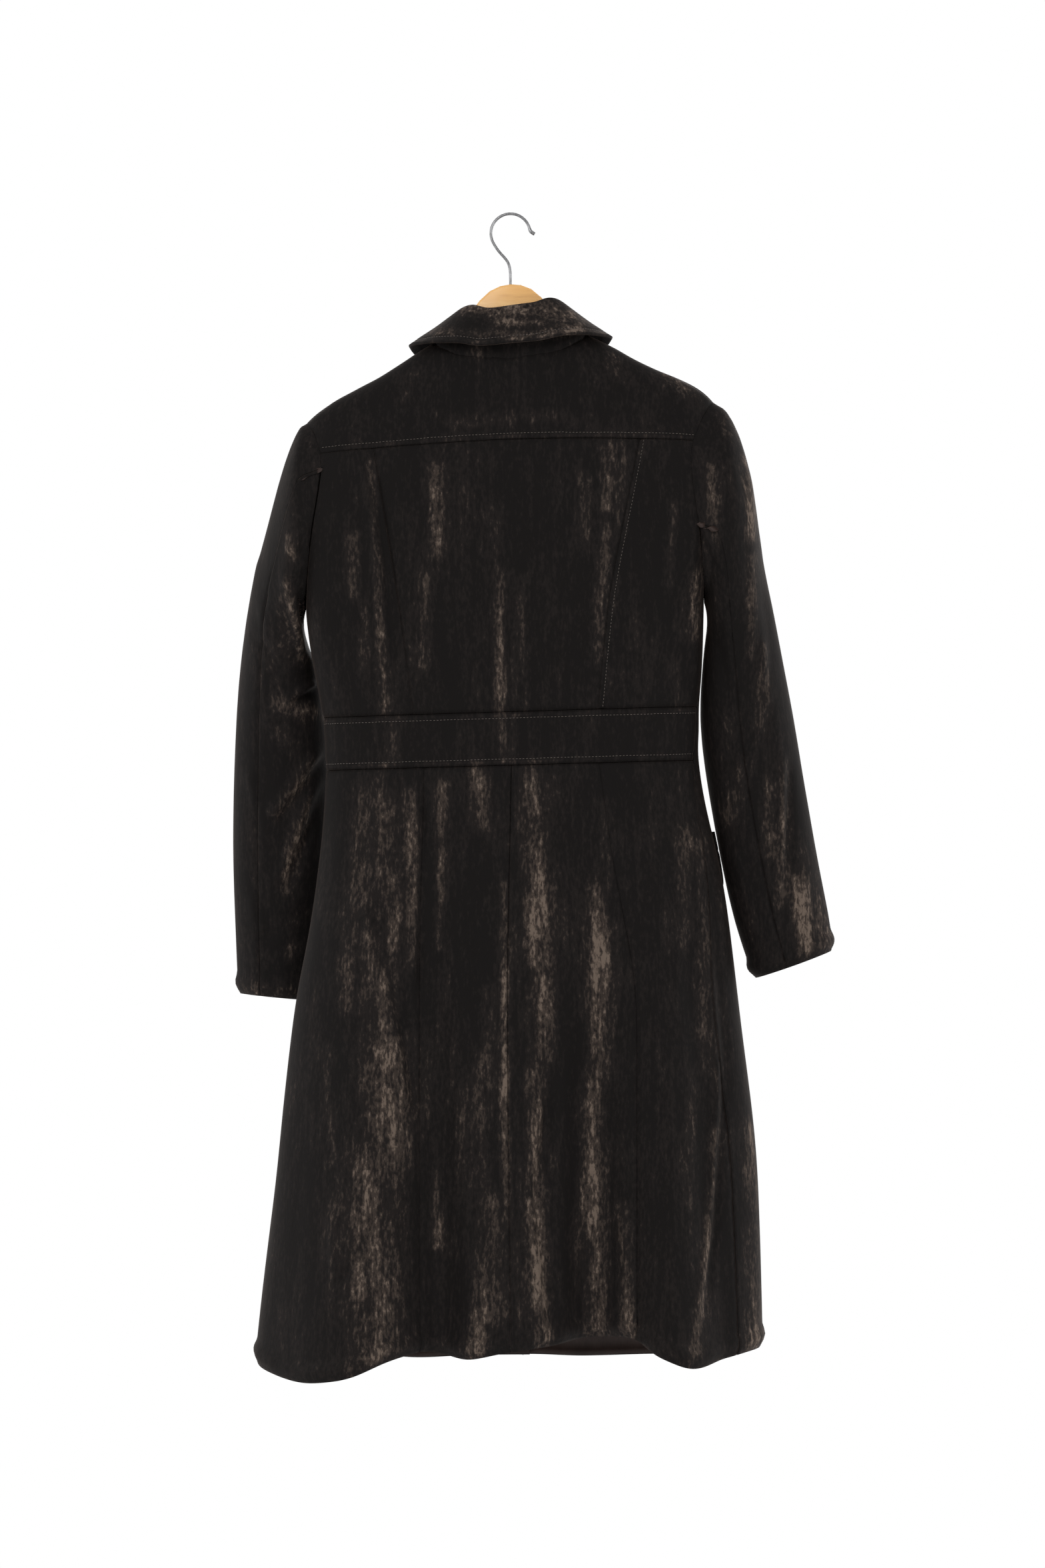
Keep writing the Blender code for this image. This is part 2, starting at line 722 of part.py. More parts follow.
def button(height):
    """A covered button, a flattened ball that lies on the right front."""
    bm = bmesh.new()
    bmesh.ops.create_uvsphere(bm, u_segments=BUTTON_SIDES, v_segments=BUTTON_RINGS, radius=1)
    bmesh.ops.scale(bm, vec=(BUTTON_RADIUS, BUTTON_RADIUS, BUTTON_HALF_THICKNESS), verts=bm.verts[:])
    out = body_normal(math.pi, height)
    middle = body_point(math.pi, height) + out * (BUTTON_HALF_THICKNESS + LAID_GAP)
    turn = Vector((0, 0, 1)).rotation_difference(out).to_matrix()
    bmesh.ops.rotate(bm, matrix=turn, verts=bm.verts[:])
    bmesh.ops.translate(bm, vec=middle, verts=bm.verts[:])
    return bm


def hanger_blank():
    """The wooden body, with rounded edges and the tilt it hangs at."""

    def place(a, b, layer):
        x = lerp(-HANGER_HALF_SPAN, HANGER_HALF_SPAN, a)
        height = lerp(hanger["bottom"](abs(x)), hanger["top"](abs(x)), b)
        y = lerp(-HANGER_HALF_THICKNESS, HANGER_HALF_THICKNESS, layer)
        return Vector((x, y, height + HANGER_TILT * x))

    bm = slab(even(HANGER_COLUMNS), even(1), place)
    sharp = [edge for edge in bm.edges if edge.calc_face_angle(0) > math.radians(HANGER_SHARP)]
    bmesh.ops.bevel(
        bm, geom=sharp, offset=HANGER_EDGE, segments=HANGER_EDGE_STEPS, profile=0.5, affect="EDGES"
    )
    return bm


def hook_path():
    """Points down the wire's middle, from the tip over the crown to the end inside the wood."""
    centre = WIRE - HOOK_RADIUS
    points = []
    for i in range(HOOK_ARC_POINTS + 1):
        angle = math.radians(lerp(HOOK_TIP, HOOK_HEEL, i / HOOK_ARC_POINTS))
        points.append(Vector((HOOK_RADIUS * math.cos(angle), 0, centre + HOOK_RADIUS * math.sin(angle))))
    points.insert(0, points[0] + HOOK_FLICK)
    heel = math.radians(HOOK_HEEL)
    start = points[-1]
    start_pull = start + Vector((-math.sin(heel), 0, math.cos(heel))) * HOOK_NECK_PULL
    foot = Vector((0, 0, HOOK_FOOT))
    foot_pull = foot + Vector((0, 0, HOOK_NECK_PULL))
    for i in range(1, HOOK_NECK_POINTS + 1):
        t = i / HOOK_NECK_POINTS
        s = 1 - t
        points.append(s**3 * start + 3 * s * s * t * start_pull + 3 * s * t * t * foot_pull + t**3 * foot)
    points.append(Vector((0, 0, HOOK_END)))
    return points


def hook_mesh():
    curve = bpy.data.curves.new("hook_wire", "CURVE")
    curve.dimensions = "3D"
    curve.bevel_depth = WIRE
    curve.bevel_resolution = WIRE_ROUNDNESS
    curve.use_fill_caps = True
    path = hook_path()
    spline = curve.splines.new("POLY")
    spline.points.add(len(path) - 1)
    for point, place in zip(spline.points, path):
        point.co = (*place, 1)
    spline.points[0].radius = HOOK_KNOB
    spline.points[1].radius = HOOK_KNOB
    wire = bpy.data.objects.new("hook_wire", curve)
    mesh = bpy.data.meshes.new_from_object(wire)
    bpy.data.objects.remove(wire)
    bm = bmesh.new()
    bm.from_mesh(mesh)
    bmesh.ops.remove_doubles(bm, verts=bm.verts[:], dist=WELD)
    bmesh.ops.recalc_face_normals(bm, faces=bm.faces[:])
    bm.to_mesh(mesh)
    bm.free()
    return mesh


def bore_mesh():
    """The hole that the hook's shank sits in."""
    bm = bmesh.new()
    top = HANGER_PROFILE[0].top + 2 * HANGER_EDGE
    end = HOOK_END - BORE_GAP
    radius = WIRE + BORE_GAP
    bmesh.ops.create_cone(
        bm, cap_ends=True, segments=BORE_SIDES, radius1=radius, radius2=radius, depth=top - end
    )
    bmesh.ops.translate(bm, vec=(0, 0, (top + end) / 2), verts=bm.verts[:])
    return finished(bm, "hook_bore")


for old in list(bpy.data.objects):
    bpy.data.objects.remove(old)

coat = bpy.data.collections.new("long_coat_on_hanger")
cutters = bpy.data.collections.new("cutters")
bpy.context.scene.collection.children.link(coat)
bpy.context.scene.collection.children.link(cutters)

left_bodice = upright(BODICE_LEFT)
right_bodice = upright(BODICE_RIGHT)
left_skirt = upright(SKIRT_LEFT)
centre_skirt = upright(SKIRT_CENTRE)
right_skirt = upright(SKIRT_RIGHT)
left_back = outer_edge("left", True)
right_back = outer_edge("right", True)
left_front = outer_edge("left", False)
right_front = outer_edge("right", False)
band_top = level(BAND_TOP)
band_bottom = level(BAND_BOTTOM)

# Rows at the side edge, the same in the back and front so that their seams meet
yoke_edge = YOKE_SEAM
for _ in range(SOLVE_STEPS):
    yoke_edge = yoke_seam(armhole_angle(yoke_edge, True))
yoke_turn = math.degrees(armhole_turn(yoke_edge, True))
armhole_turns = list(ARMHOLE_TURNS) + [yoke_turn] + list(YOKE_TURNS)
bodice_heights = [lerp(BAND_TOP, ARMHOLE_BOTTOM, i / BODICE_ROWS) for i in range(BODICE_ROWS)]
bodice_heights += [armhole_height(turn) for turn in ARMHOLE_TURNS] + [yoke_edge]
yoke_heights = [yoke_edge] + [armhole_height(turn) for turn in YOKE_TURNS]
for i in range(SHOULDER_ROWS):
    yoke_heights.append(lerp(ARMHOLE_TOP, neck(math.pi / 2), (i + 1) / SHOULDER_ROWS))
bodice_rows = shares(bodice_heights)
yoke_rows = shares(yoke_heights)
skirt_rows = even(SKIRT_ROWS)
front_rows = {}
for side in SIGN:
    side_hem = BAND_BOTTOM
    for _ in range(SOLVE_STEPS):
        side_hem = hem(outer_edge(side, True)(side_hem))
    skirt_heights = [lerp(side_hem, BAND_BOTTOM, i / SKIRT_ROWS) for i in range(SKIRT_ROWS + 1)]
    band_heights = [lerp(BAND_BOTTOM, BAND_TOP, (i + 1) / BAND_ROWS) for i in range(BAND_ROWS)]
    front_rows[side] = shares(skirt_heights + band_heights + bodice_heights[1:] + yoke_heights[1:])

# Columns round the neck, the same in the yoke, the fronts and the collar
yoke_columns = even(YOKE_COLUMNS)
front_columns = even(FRONT_COLUMNS)
collar_columns = front_columns[1:-COLLAR_OPEN_COLUMNS]
round_neck = neck_angles(collar_columns, left_front, front_edge("left"))[::-1]
round_neck += neck_angles(yoke_columns, left_back, right_back)
round_neck += neck_angles(collar_columns, right_front, front_edge("right"))

band_columns = even(BAND_COLUMNS)
centre_columns = even(BODICE_CENTRE_COLUMNS)
side_columns = even(BODICE_SIDE_COLUMNS)
left_armhole = ((0, "left", True),)
right_armhole = ((1, "right", True),)
both_armholes = left_armhole + right_armhole
cloth_pieces = {
    "back_yoke": panel(
        yoke_columns, yoke_rows, left_back, right_back, yoke_seam, neck, armholes=both_armholes
    ),
    "back_bodice_centre": panel(centre_columns, bodice_rows, left_bodice, right_bodice, band_top, yoke_seam),
    "back_bodice_side_left": panel(
        side_columns, bodice_rows, left_back, left_bodice, band_top, yoke_seam, armholes=left_armhole
    ),
    "back_bodice_side_right": panel(
        side_columns, bodice_rows, right_bodice, right_back, band_top, yoke_seam, armholes=right_armhole
    ),
    "back_waistband": panel(band_columns, even(BAND_ROWS), left_back, right_back, band_bottom, band_top),
    "back_skirt_side_left": panel(
        even(SKIRT_SIDE_LEFT_COLUMNS), skirt_rows, left_back, left_skirt, hem, band_bottom
    ),
    "back_skirt_centre_left": panel(
        even(SKIRT_CENTRE_LEFT_COLUMNS), skirt_rows, left_skirt, centre_skirt, hem, band_bottom
    ),
    "back_skirt_centre_right": panel(
        even(SKIRT_CENTRE_RIGHT_COLUMNS), skirt_rows, centre_skirt, right_skirt, hem, band_bottom
    ),
    "back_skirt_side_right": panel(
        even(SKIRT_SIDE_RIGHT_COLUMNS), skirt_rows, right_skirt, right_back, hem, band_bottom
    ),
    "front_left": panel(
        front_columns,
        front_rows["left"],
        left_front,
        front_edge("left"),
        hem,
        neck,
        sink=lap_sink,
        armholes=((0, "left", False),),
    ),
    "front_right": panel(
        front_columns,
        front_rows["right"],
        right_front,
        front_edge("right"),
        hem,
        neck,
        armholes=((0, "right", False),),
    ),
    "collar_stand": slab(round_neck, STAND_KNOTS, lambda a, b, layer: stand_point(a, b, CLOTH * layer)),
    "collar_fall": slab(round_neck, FALL_KNOTS, lambda a, b, layer: fall_point(a, b, CLOTH * layer)),
    "pocket_flap_left": flap(FLAP_LEFT),
    "pocket_flap_right": flap(FLAP_RIGHT),
}
for side, seams in (("left", SLEEVE_SEAMS_LEFT), ("right", SLEEVE_SEAMS_RIGHT)):
    back_seam, front_seam = seams
    cloth_pieces["sleeve_under_" + side] = sleeve(side, back_seam, front_seam)
    cloth_pieces["sleeve_upper_" + side] = sleeve(side, front_seam, back_seam + 360)

for i in range(BUTTON_COUNT):
    cloth_pieces[f"button_{i + 1}"] = button(BUTTON_FIRST - i * BUTTON_PITCH)

for name, bm in cloth_pieces.items():
    new_part(name, finished(bm, name), VELVET, coat)

for side, edge in (("left", left_front), ("right", right_front)):
    name = "front_lining_" + side
    new_part(name, finished(front_lining(side, edge, front_rows[side]), name), SATIN, coat)

new_part("hanger_hook", hook_mesh(), STEEL, coat)
wood = new_part("hanger_body", finished(hanger_blank(), "hanger_body"), HONEY_WOOD, coat)
bore = new_part("hook_bore", bore_mesh(), STEEL, cutters)
cut = wood.modifiers.new("bore", "BOOLEAN")
cut.operation = "DIFFERENCE"
cut.solver = "EXACT"
cut.object = bore
bore.hide_render = True
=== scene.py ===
import math

import bmesh
import bpy
import numpy as np
from mathutils import Matrix, Vector, noise
from mathutils.bvhtree import BVHTree
from mathutils.kdtree import KDTree


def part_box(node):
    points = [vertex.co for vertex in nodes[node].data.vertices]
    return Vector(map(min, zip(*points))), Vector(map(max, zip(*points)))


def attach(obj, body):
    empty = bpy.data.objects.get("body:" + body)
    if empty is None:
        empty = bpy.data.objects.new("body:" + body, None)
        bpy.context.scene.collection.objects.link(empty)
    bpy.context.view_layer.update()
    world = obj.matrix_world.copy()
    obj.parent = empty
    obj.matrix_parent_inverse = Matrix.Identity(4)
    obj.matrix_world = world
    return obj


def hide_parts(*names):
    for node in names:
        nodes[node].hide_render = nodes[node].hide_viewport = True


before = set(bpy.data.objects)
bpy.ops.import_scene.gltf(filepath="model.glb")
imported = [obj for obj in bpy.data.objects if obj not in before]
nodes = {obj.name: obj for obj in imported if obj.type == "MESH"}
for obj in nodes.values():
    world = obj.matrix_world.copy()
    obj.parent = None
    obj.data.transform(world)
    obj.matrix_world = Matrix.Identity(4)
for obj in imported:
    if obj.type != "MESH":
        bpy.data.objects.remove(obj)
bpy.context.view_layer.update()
mm = 0.001
scene = bpy.context.scene
scene.view_settings.view_transform = "Standard"


# creases of the back, in mm as the back is looked at: a ridge is raised, a fold is raised on its
# left and sunk on its right; the path runs from the top down
backCreases = (
    ("fold", 5, 4.5, ((-147, -244), (-138, -300), (-131, -350), (-127, -400), (-122, -460), (-120, -506))),
    ("ridge", 8, 1.7, ((-75, -250), (-78, -350), (-88, -450), (-90, -505))),
    ("ridge", 7, 1.4, ((-161, -280), (-160, -380), (-151, -440), (-142, -505))),
    ("ridge", 7, 1.4, ((-17, -290), (-14, -380), (-9, -505))),
    ("ridge", 5, 1.1, ((10, -350), (11, -430), (14, -505))),
    ("ridge", 8, 1.6, ((76, -262), (74, -340), (69, -445))),
    ("ridge", 5, 1.3, ((103, -236), (98, -300), (92, -350))),
    ("ridge", 4, 0.9, ((166, -270), (163, -330), (157, -385))),
    ("ridge", 5, 1.8, ((191, -300), (186, -350), (187, -420), (189, -500))),
    ("ridge", 6, 1.2, ((-116, -525), (-117, -560), (-119, -610))),
    ("fold", 4, 2.2, ((-93, -572), (-91, -650), (-92, -720), (-97, -800))),
    ("fold", 6, 4.5, ((-142, -680), (-135, -745), (-120, -790), (-112, -830), (-104, -880), (-99, -925))),
    ("ridge", 7, 1.6, ((-121, -915), (-118, -1000), (-120, -1080), (-116, -1156))),
    ("trough", 4, 3.0, ((-130, -998), (-150, -1045), (-175, -1086))),
    ("ridge", 5, 1.6, ((-178, -1008), (-179, -1050), (-174, -1086))),
    ("ridge", 5, 1.3, ((-72, -575), (-70, -650), (-75, -745))),
    ("ridge", 9, 1.7, ((-131, -585), (-136, -650), (-127, -705))),
    ("ridge", 8, 1.3, ((-160, -590), (-158, -690), (-161, -790))),
    ("ridge", 4, 1.4, ((-6, -690), (-5, -850), (-5, -1010))),
    ("ridge", 8, 1.5, ((-27, -780), (-30, -880), (-26, -980), (-19, -1080), (-34, -1150))),
    ("ridge", 11, 2.8, ((19, -568), (27, -650), (26, -740), (31, -830), (22, -900), (25, -970))),
    ("fold", 5, 3.2, ((39, -870), (29, -945), (21, -990), (28, -1040), (33, -1090), (38, -1142))),
    ("ridge", 5, 1.2, ((94, -565), (100, -640), (95, -700))),
    ("ridge", 11, 2.4, ((88, -690), (91, -800), (86, -900), (81, -1000), (84, -1120))),
    ("ridge", 6, 1.7, ((113, -1000), (116, -1060), (118, -1135))),
    ("ridge", 8, 1.5, ((191, -620), (194, -720), (191, -810))),
    ("ridge", 9, 1.3, ((176, -640), (169, -790), (183, -900), (178, -1000))),
    ("fold", 4, 2.4, (
        (198, -680), (207, -780), (213, -850), (213, -890), (208, -960), (203, -1030), (188, -1146),
    )),
)
# creases of the hidden front, of the same kind
frontCreases = (
    ("ridge", 8, 1.6, ((-150, -250), (-146, -340), (-150, -450), (-144, -540))),
    ("fold", 5, 2.8, ((-118, -300), (-124, -400), (-119, -500), (-110, -570))),
    ("ridge", 7, 1.4, ((-72, -270), (-80, -380), (-76, -500))),
    ("ridge", 7, 1.5, ((80, -280), (86, -390), (78, -510))),
    ("fold", 5, 2.4, ((128, -290), (121, -410), (124, -540))),
    ("ridge", 6, 1.4, ((163, -320), (158, -430), (164, -560))),
    ("ridge", 9, 2.0, ((-162, -720), (-160, -850), (-168, -1000), (-164, -1150))),
    ("ridge", 8, 1.6, ((-62, -590), (-66, -760), (-60, -900), (-66, -1120))),
    ("fold", 5, 2.6, ((-118, -700), (-112, -800), (-118, -920), (-114, -1050))),
    ("ridge", 9, 1.9, ((60, -600), (66, -740), (62, -880), (70, -1040))),
    ("fold", 5, 2.4, ((112, -730), (118, -850), (112, -980), (116, -1100))),
    ("ridge", 9, 1.9, ((160, -710), (166, -860), (162, -1010), (170, -1140))),
    ("ridge", 7, 1.3, ((30, -700), (32, -880), (28, -1060))),
)
leftSleeveCreases = (
    ("ridge", 5, 2.2, ((-206, -318), (-216, -334), (-227, -347))),
    ("fold", 5, 4.0, ((-229, -362), (-218, -385), (-212, -425), (-206, -456))),
    ("ridge", 4, 2.0, ((-206, -352), (-214, -364), (-226, -370))),
    ("trough", 5, 2.0, ((-270, -424), (-250, -440), (-234, -472))),
    ("ridge", 6, 1.6, ((-262, -340), (-258, -390), (-247, -432))),
    ("fold", 4, 4.0, ((-196, -478), (-212, -488), (-229, -498))),
    ("ridge", 5, 2.0, ((-192, -502), (-220, -506), (-246, -500))),
    ("ridge", 6, 1.8, ((-251, -506), (-240, -526), (-222, -544))),
    ("fold", 6, 4.2, ((-188, -543), (-213, -578), (-246, -622))),
    ("fold", 6, 3.6, ((-190, -566), (-208, -615), (-224, -660), (-240, -694))),
    ("ridge", 6, 1.5, ((-270, -560), (-262, -600), (-246, -640))),
    ("ridge", 7, 1.4, ((-196, -690), (-222, -705), (-255, -708))),
    ("ridge", 7, 1.3, ((-270, -690), (-258, -725), (-262, -770))),
    ("trough", 6, 1.4, ((-205, -735), (-230, -728), (-262, -740))),
)
rightSleeveCreases = (
    ("ridge", 4, 2.0, ((193, -314), (203, -336), (211, -357))),
    ("ridge", 4, 2.4, ((190, -338), (195, -362), (192, -384))),
    ("ridge", 5, 2.4, ((239, -245), (244, -310), (246, -390), (244, -455))),
    ("trough", 6, 1.8, ((256, -330), (260, -400), (268, -470))),
    ("trough", 7, 2.4, ((206, -400), (212, -450), (222, -500))),
    ("ridge", 4, 1.6, ((210, -440), (220, -428), (229, -436))),
    ("ridge", 5, 2.2, ((257, -425), (256, -480), (248, -530))),
    ("ridge", 4, 2.0, ((266, -478), (256, -510), (246, -548))),
    ("ridge", 4, 2.0, ((252, -548), (238, -556), (228, -570))),
    ("fold", 4, 2.6, ((281, -540), (280, -600), (279, -660), (275, -722))),
    ("ridge", 4, 1.9, ((241, -586), (230, -600), (219, -622))),
    ("ridge", 6, 1.6, ((264, -570), (262, -620), (268, -670))),
    ("ridge", 6, 1.5, ((226, -640), (238, -690), (252, -735))),
    ("ridge", 8, 1.8, ((300, -660), (298, -710), (304, -750))),
)
creaseTables = {
    "body": (backCreases, frontCreases),
    "left": (leftSleeveCreases, leftSleeveCreases[5:]),
    "right": (rightSleeveCreases, rightSleeveCreases[4:]),
    "collar": ((), ()),
}
# painted sheen: where the pile is brushed the other way it catches the light, and this is painted lighter
# into the colour; half width and strength, then its path
backNapSheen = (
    (11, 1.1, ((-46, -95), (-10, -99), (40, -97))), (8, 0.9, ((-15, -111), (30, -112), (62, -103))),
    (6, 0.8, ((-80, -121), (-35, -125), (25, -126), (70, -118))), (9, 0.7, ((70, -100), (92, -118))),
    (9, 0.8, ((-75, -262), (-77, -345))), (7, 0.6, ((-85, -365), (-88, -460))),
    (8, 0.5, ((-159, -330), (-158, -388))), (6, 0.5, ((-150, -398), (-142, -500))),
    (6, 0.8, ((-141, -255), (-134, -350), (-128, -505))),
    (8, 0.6, ((-17, -300), (-15, -350))), (7, 0.8, ((-12, -365), (-9, -510))),
    (5, 0.6, ((11, -370), (14, -505))),
    (10, 0.7, ((75, -270), (74, -335))), (7, 0.6, ((103, -236), (97, -300))),
    (9, 0.6, ((97, -325), (88, -450))),
    (6, 0.6, ((116, -250), (108, -330))), (5, 0.4, ((165, -300), (158, -380))),
    (7, 0.8, ((186, -370), (186, -430))), (6, 0.5, ((166, -455), (172, -500))),
    (10, 0.7, ((105, -150), (112, -166))), (12, 0.8, ((160, -166), (176, -180))),
    (6, 0.4, ((-60, -214), (58, -206))),
    (5, 0.7, ((-9, -512), (-8, -556))), (5, 0.5, ((2, -515), (3, -556))),
    (5, 0.5, ((-117, -528), (-118, -557))),
    (8, 0.8, ((-30, -570), (-28, -622))), (12, 0.8, ((18, -568), (28, -690))),
    (14, 1.0, ((26, -700), (27, -760))),
    (14, 0.9, ((30, -780), (31, -850))), (12, 0.9, ((22, -870), (27, -985))),
    (11, 1.0, ((24, -1000), (31, -1100))),
    (10, 0.7, ((30, -1100), (36, -1145))),
    (14, 0.7, ((-150, -590), (-150, -690))), (13, 0.8, ((-130, -600), (-120, -740))),
    (8, 0.7, ((-100, -590), (-97, -760))), (6, 0.8, ((-70, -580), (-72, -745))),
    (16, 0.8, ((-142, -740), (-125, -860))), (26, 1.0, ((-124, -850), (-120, -960))),
    (30, 1.0, ((-135, -960), (-140, -1080))), (24, 0.9, ((-128, -1080), (-130, -1150))),
    (8, 0.6, ((-185, -850), (-180, -960))), (9, 0.5, ((-165, -760), (-166, -800))),
    (5, 1.0, ((-76, -972), (-73, -1045))),
    (9, 0.6, ((-22, -790), (-24, -880))), (8, 0.6, ((-30, -895), (-26, -985))),
    (15, 0.9, ((-18, -1000), (-18, -1110))),
    (9, 0.7, ((-31, -1110), (-33, -1150))), (5, 0.9, ((-6, -680), (-5, -1000))),
    (8, 0.7, ((94, -600), (100, -690))), (13, 0.9, ((88, -690), (90, -870))),
    (14, 0.9, ((85, -880), (82, -1010))),
    (14, 1.0, ((83, -1010), (88, -1130))), (9, 0.8, ((113, -1005), (118, -1135))),
    (12, 0.6, ((178, -640), (176, -740))), (8, 0.7, ((192, -640), (195, -830))),
    (9, 0.5, ((186, -870), (180, -1000))),
    (6, 0.8, ((208, -930), (192, -1110))), (7, 0.6, ((188, -1110), (186, -1148))),
    (10, 0.7, ((240, -930), (244, -1010))), (12, 0.8, ((244, -1030), (246, -1150))),
    (14, 0.7, ((-20, -100), (6, -104))), (9, 0.9, ((6, -104), (24, -92))),
    (8, 0.6, ((40, -104), (52, -114))),
    (9, 0.6, ((-38, -139), (-30, -142))),
)
frontNapSheen = (
    (9, 0.7, ((-150, -260), (-148, -380))), (8, 0.6, ((-74, -290), (-78, -420))),
    (9, 0.7, ((82, -290), (84, -400))),
    (7, 0.6, ((162, -330), (160, -430))), (8, 0.7, ((-121, -330), (-118, -500))),
    (6, 0.5, ((40, -420), (44, -520))),
    (14, 0.8, ((-162, -740), (-164, -900))), (18, 0.9, ((-166, -930), (-164, -1140))),
    (9, 0.6, ((-63, -610), (-64, -780))),
    (12, 0.8, ((-64, -840), (-62, -1060))), (13, 0.8, ((62, -620), (64, -800))),
    (10, 0.7, ((68, -860), (66, -1080))),
    (18, 0.8, ((162, -740), (164, -900))), (16, 0.9, ((164, -930), (168, -1140))),
    (8, 0.6, ((30, -730), (30, -980))),
)
leftSleeveNapSheen = (
    (8, 0.7, ((-226, -378), (-212, -450))), (7, 0.5, ((-226, -330), (-222, -348))),
    (9, 0.5, ((-232, -395), (-226, -440))),
    (10, 0.7, ((-236, -500), (-196, -508))), (9, 0.5, ((-240, -525), (-226, -540))),
    (8, 0.8, ((-200, -560), (-240, -612))),
    (9, 0.8, ((-202, -600), (-232, -686))), (10, 0.4, ((-200, -712), (-240, -726))),
    (8, 0.5, ((-212, -745), (-250, -760))),
    (12, 0.6, ((-272, -792), (-205, -800))), (8, 0.4, ((-262, -640), (-256, -700))),
)
rightSleeveNapSheen = (
    (7, 0.9, ((240, -250), (245, -330))), (6, 0.8, ((246, -350), (245, -450))),
    (6, 0.6, ((205, -260), (206, -330))),
    (9, 0.7, ((215, -205), (226, -225))), (7, 0.7, ((256, -440), (252, -520))),
    (8, 0.6, ((262, -580), (262, -650))),
    (6, 0.7, ((280, -560), (278, -700))), (10, 1.0, ((292, -680), (300, -745))),
    (7, 0.5, ((236, -560), (222, -615))),
    (14, 0.6, ((318, -640), (322, -740))), (8, 0.4, ((236, -690), (256, -750))),
)
# the painted sheen patches of each zone, for its back and its front
napSheenTables = {
    "body": (backNapSheen, frontNapSheen),
    "left": (leftSleeveNapSheen, leftSleeveNapSheen),
    "right": (rightSleeveNapSheen, rightSleeveNapSheen),
    "collar": (backNapSheen, frontNapSheen),
}


def eased(share):
    share = np.clip(share, 0, 1)
    return share * share * (3 - 2 * share)


# distance to a path, to its right as positive, and the share of the way along it
def alongPath(across, height, path):
    path = np.array(path, float)
    steps = np.diff(path, axis=0)
    lengths = np.hypot(steps[:, 0], steps[:, 1])
    total = lengths.sum()
    best = np.full(len(across), 1e9)
    side = np.ones(len(across))
    share = np.zeros(len(across))
    gone = 0.0
    for corner, step, length in zip(path, steps, lengths):
        offX = across - corner[0]
        offZ = height - corner[1]
        t = np.clip((offX * step[0] + offZ * step[1]) / length**2, 0, 1)
        away = np.hypot(offX - t * step[0], offZ - t * step[1])
        near = away < best
        best = np.where(near, away, best)
        turn = step[1] * offX - step[0] * offZ
        side = np.where(near, np.where(turn < 0, 1.0, -1.0), side)
        share = np.where(near, (gone + t * length) / total, share)
        gone += length
    return best * side, share


# the share of its path over which a crease fades at each end, and how its depth varies between
creaseSettings = {"fade": 0.18, "steady": 0.75, "varied": 0.25, "waves": 7}


# lift of the creases in mm, at places in mm
def creaseLift(across, height, rows):
    s = creaseSettings
    lift = np.zeros(len(across))
    for kind, width, depth, path in rows:
        off, share = alongPath(across, height, path)
        off = off / width
        fade = eased(share / s["fade"]) * eased((1 - share) / s["fade"])
        uneven = s["steady"] + s["varied"] * np.sin(s["waves"] * share + path[0][0])
        if kind == "fold":
            bump = -off * np.exp(0.5 * (1 - off * off))
        else:
            bump = np.exp(-off * off) * (1 if kind == "ridge" else -1)
        lift += depth * fade * uneven * bump
    return lift


# how the painted sheen patches fade, and what lift and topstitched edges add to them: a painted highlight on
# raised creases, painted shade in sunk troughs, seams and grooves, and a painted highlight along the edges
napSheenSettings = {
    "falloff": 0.8, "highlightAndShadeFromLift": 0.05, "liftRange": (-3, 4),
    "edgeHighlightPlace": 0.45, "edgeHighlightWidth": 0.3, "edgeHighlightBase": 0.5, "edgeHighlightScale": 55,
}


# how strongly the painted sheen patches show at each place
def napSheenAmount(across, height, rows):
    amount = np.zeros(len(across))
    for width, strength, path in rows:
        off = alongPath(across, height, path)[0]
        patch = strength * np.exp(-((off / width) ** 2) * napSheenSettings["falloff"])
        amount = np.maximum(amount, patch)
    return amount


# procedural finishes
def newMaterial(name):
    material = bpy.data.materials.new(name)
    material.use_nodes = True
    tree = material.node_tree
    return material, tree, tree.nodes["Principled BSDF"]


def addNode(tree, kind, **values):
    node = tree.nodes.new(kind)
    for key, value in values.items():
        if key in node.inputs:
            node.inputs[key].default_value = value
        else:
            setattr(node, key, value)
    return node


def stretchedNoise(tree, stretch, scale, detail):
    place = addNode(tree, "ShaderNodeTexCoord")
    mapping = addNode(tree, "ShaderNodeMapping", Scale=stretch)
    grain = addNode(tree, "ShaderNodeTexNoise", Scale=scale, Detail=detail, Roughness=0.6)
    tree.links.new(place.outputs["Object"], mapping.inputs["Vector"])
    tree.links.new(mapping.outputs["Vector"], grain.inputs["Vector"])
    return grain.outputs["Fac"]


def mathNode(tree, operation, first, second, clamp=False):
    node = addNode(tree, "ShaderNodeMath", operation=operation, use_clamp=clamp)
    for socket, value in zip(node.inputs, (first, second)):
        if isinstance(value, (int, float)):
            socket.default_value = value
        else:
            tree.links.new(value, socket)
    return node.outputs[0]


def rampNode(tree, factor, stops):
    ramp = addNode(tree, "ShaderNodeValToRGB")
    ramp.color_ramp.interpolation = "EASE"
    while len(ramp.color_ramp.elements) < len(stops):
        ramp.color_ramp.elements.new(0.5)
    for element, (place, colour) in zip(ramp.color_ramp.elements, stops):
        element.position = place
        element.color = (*colour, 1)
    tree.links.new(factor, ramp.inputs["Fac"])
    return ramp.outputs["Color"]


def bumpFrom(tree, shader, height, strength, distance):
    bump = addNode(tree, "ShaderNodeBump", Strength=strength, Distance=distance)
    tree.links.new(height, bump.inputs["Height"])
    tree.links.new(bump.outputs["Normal"], shader.inputs["Normal"])
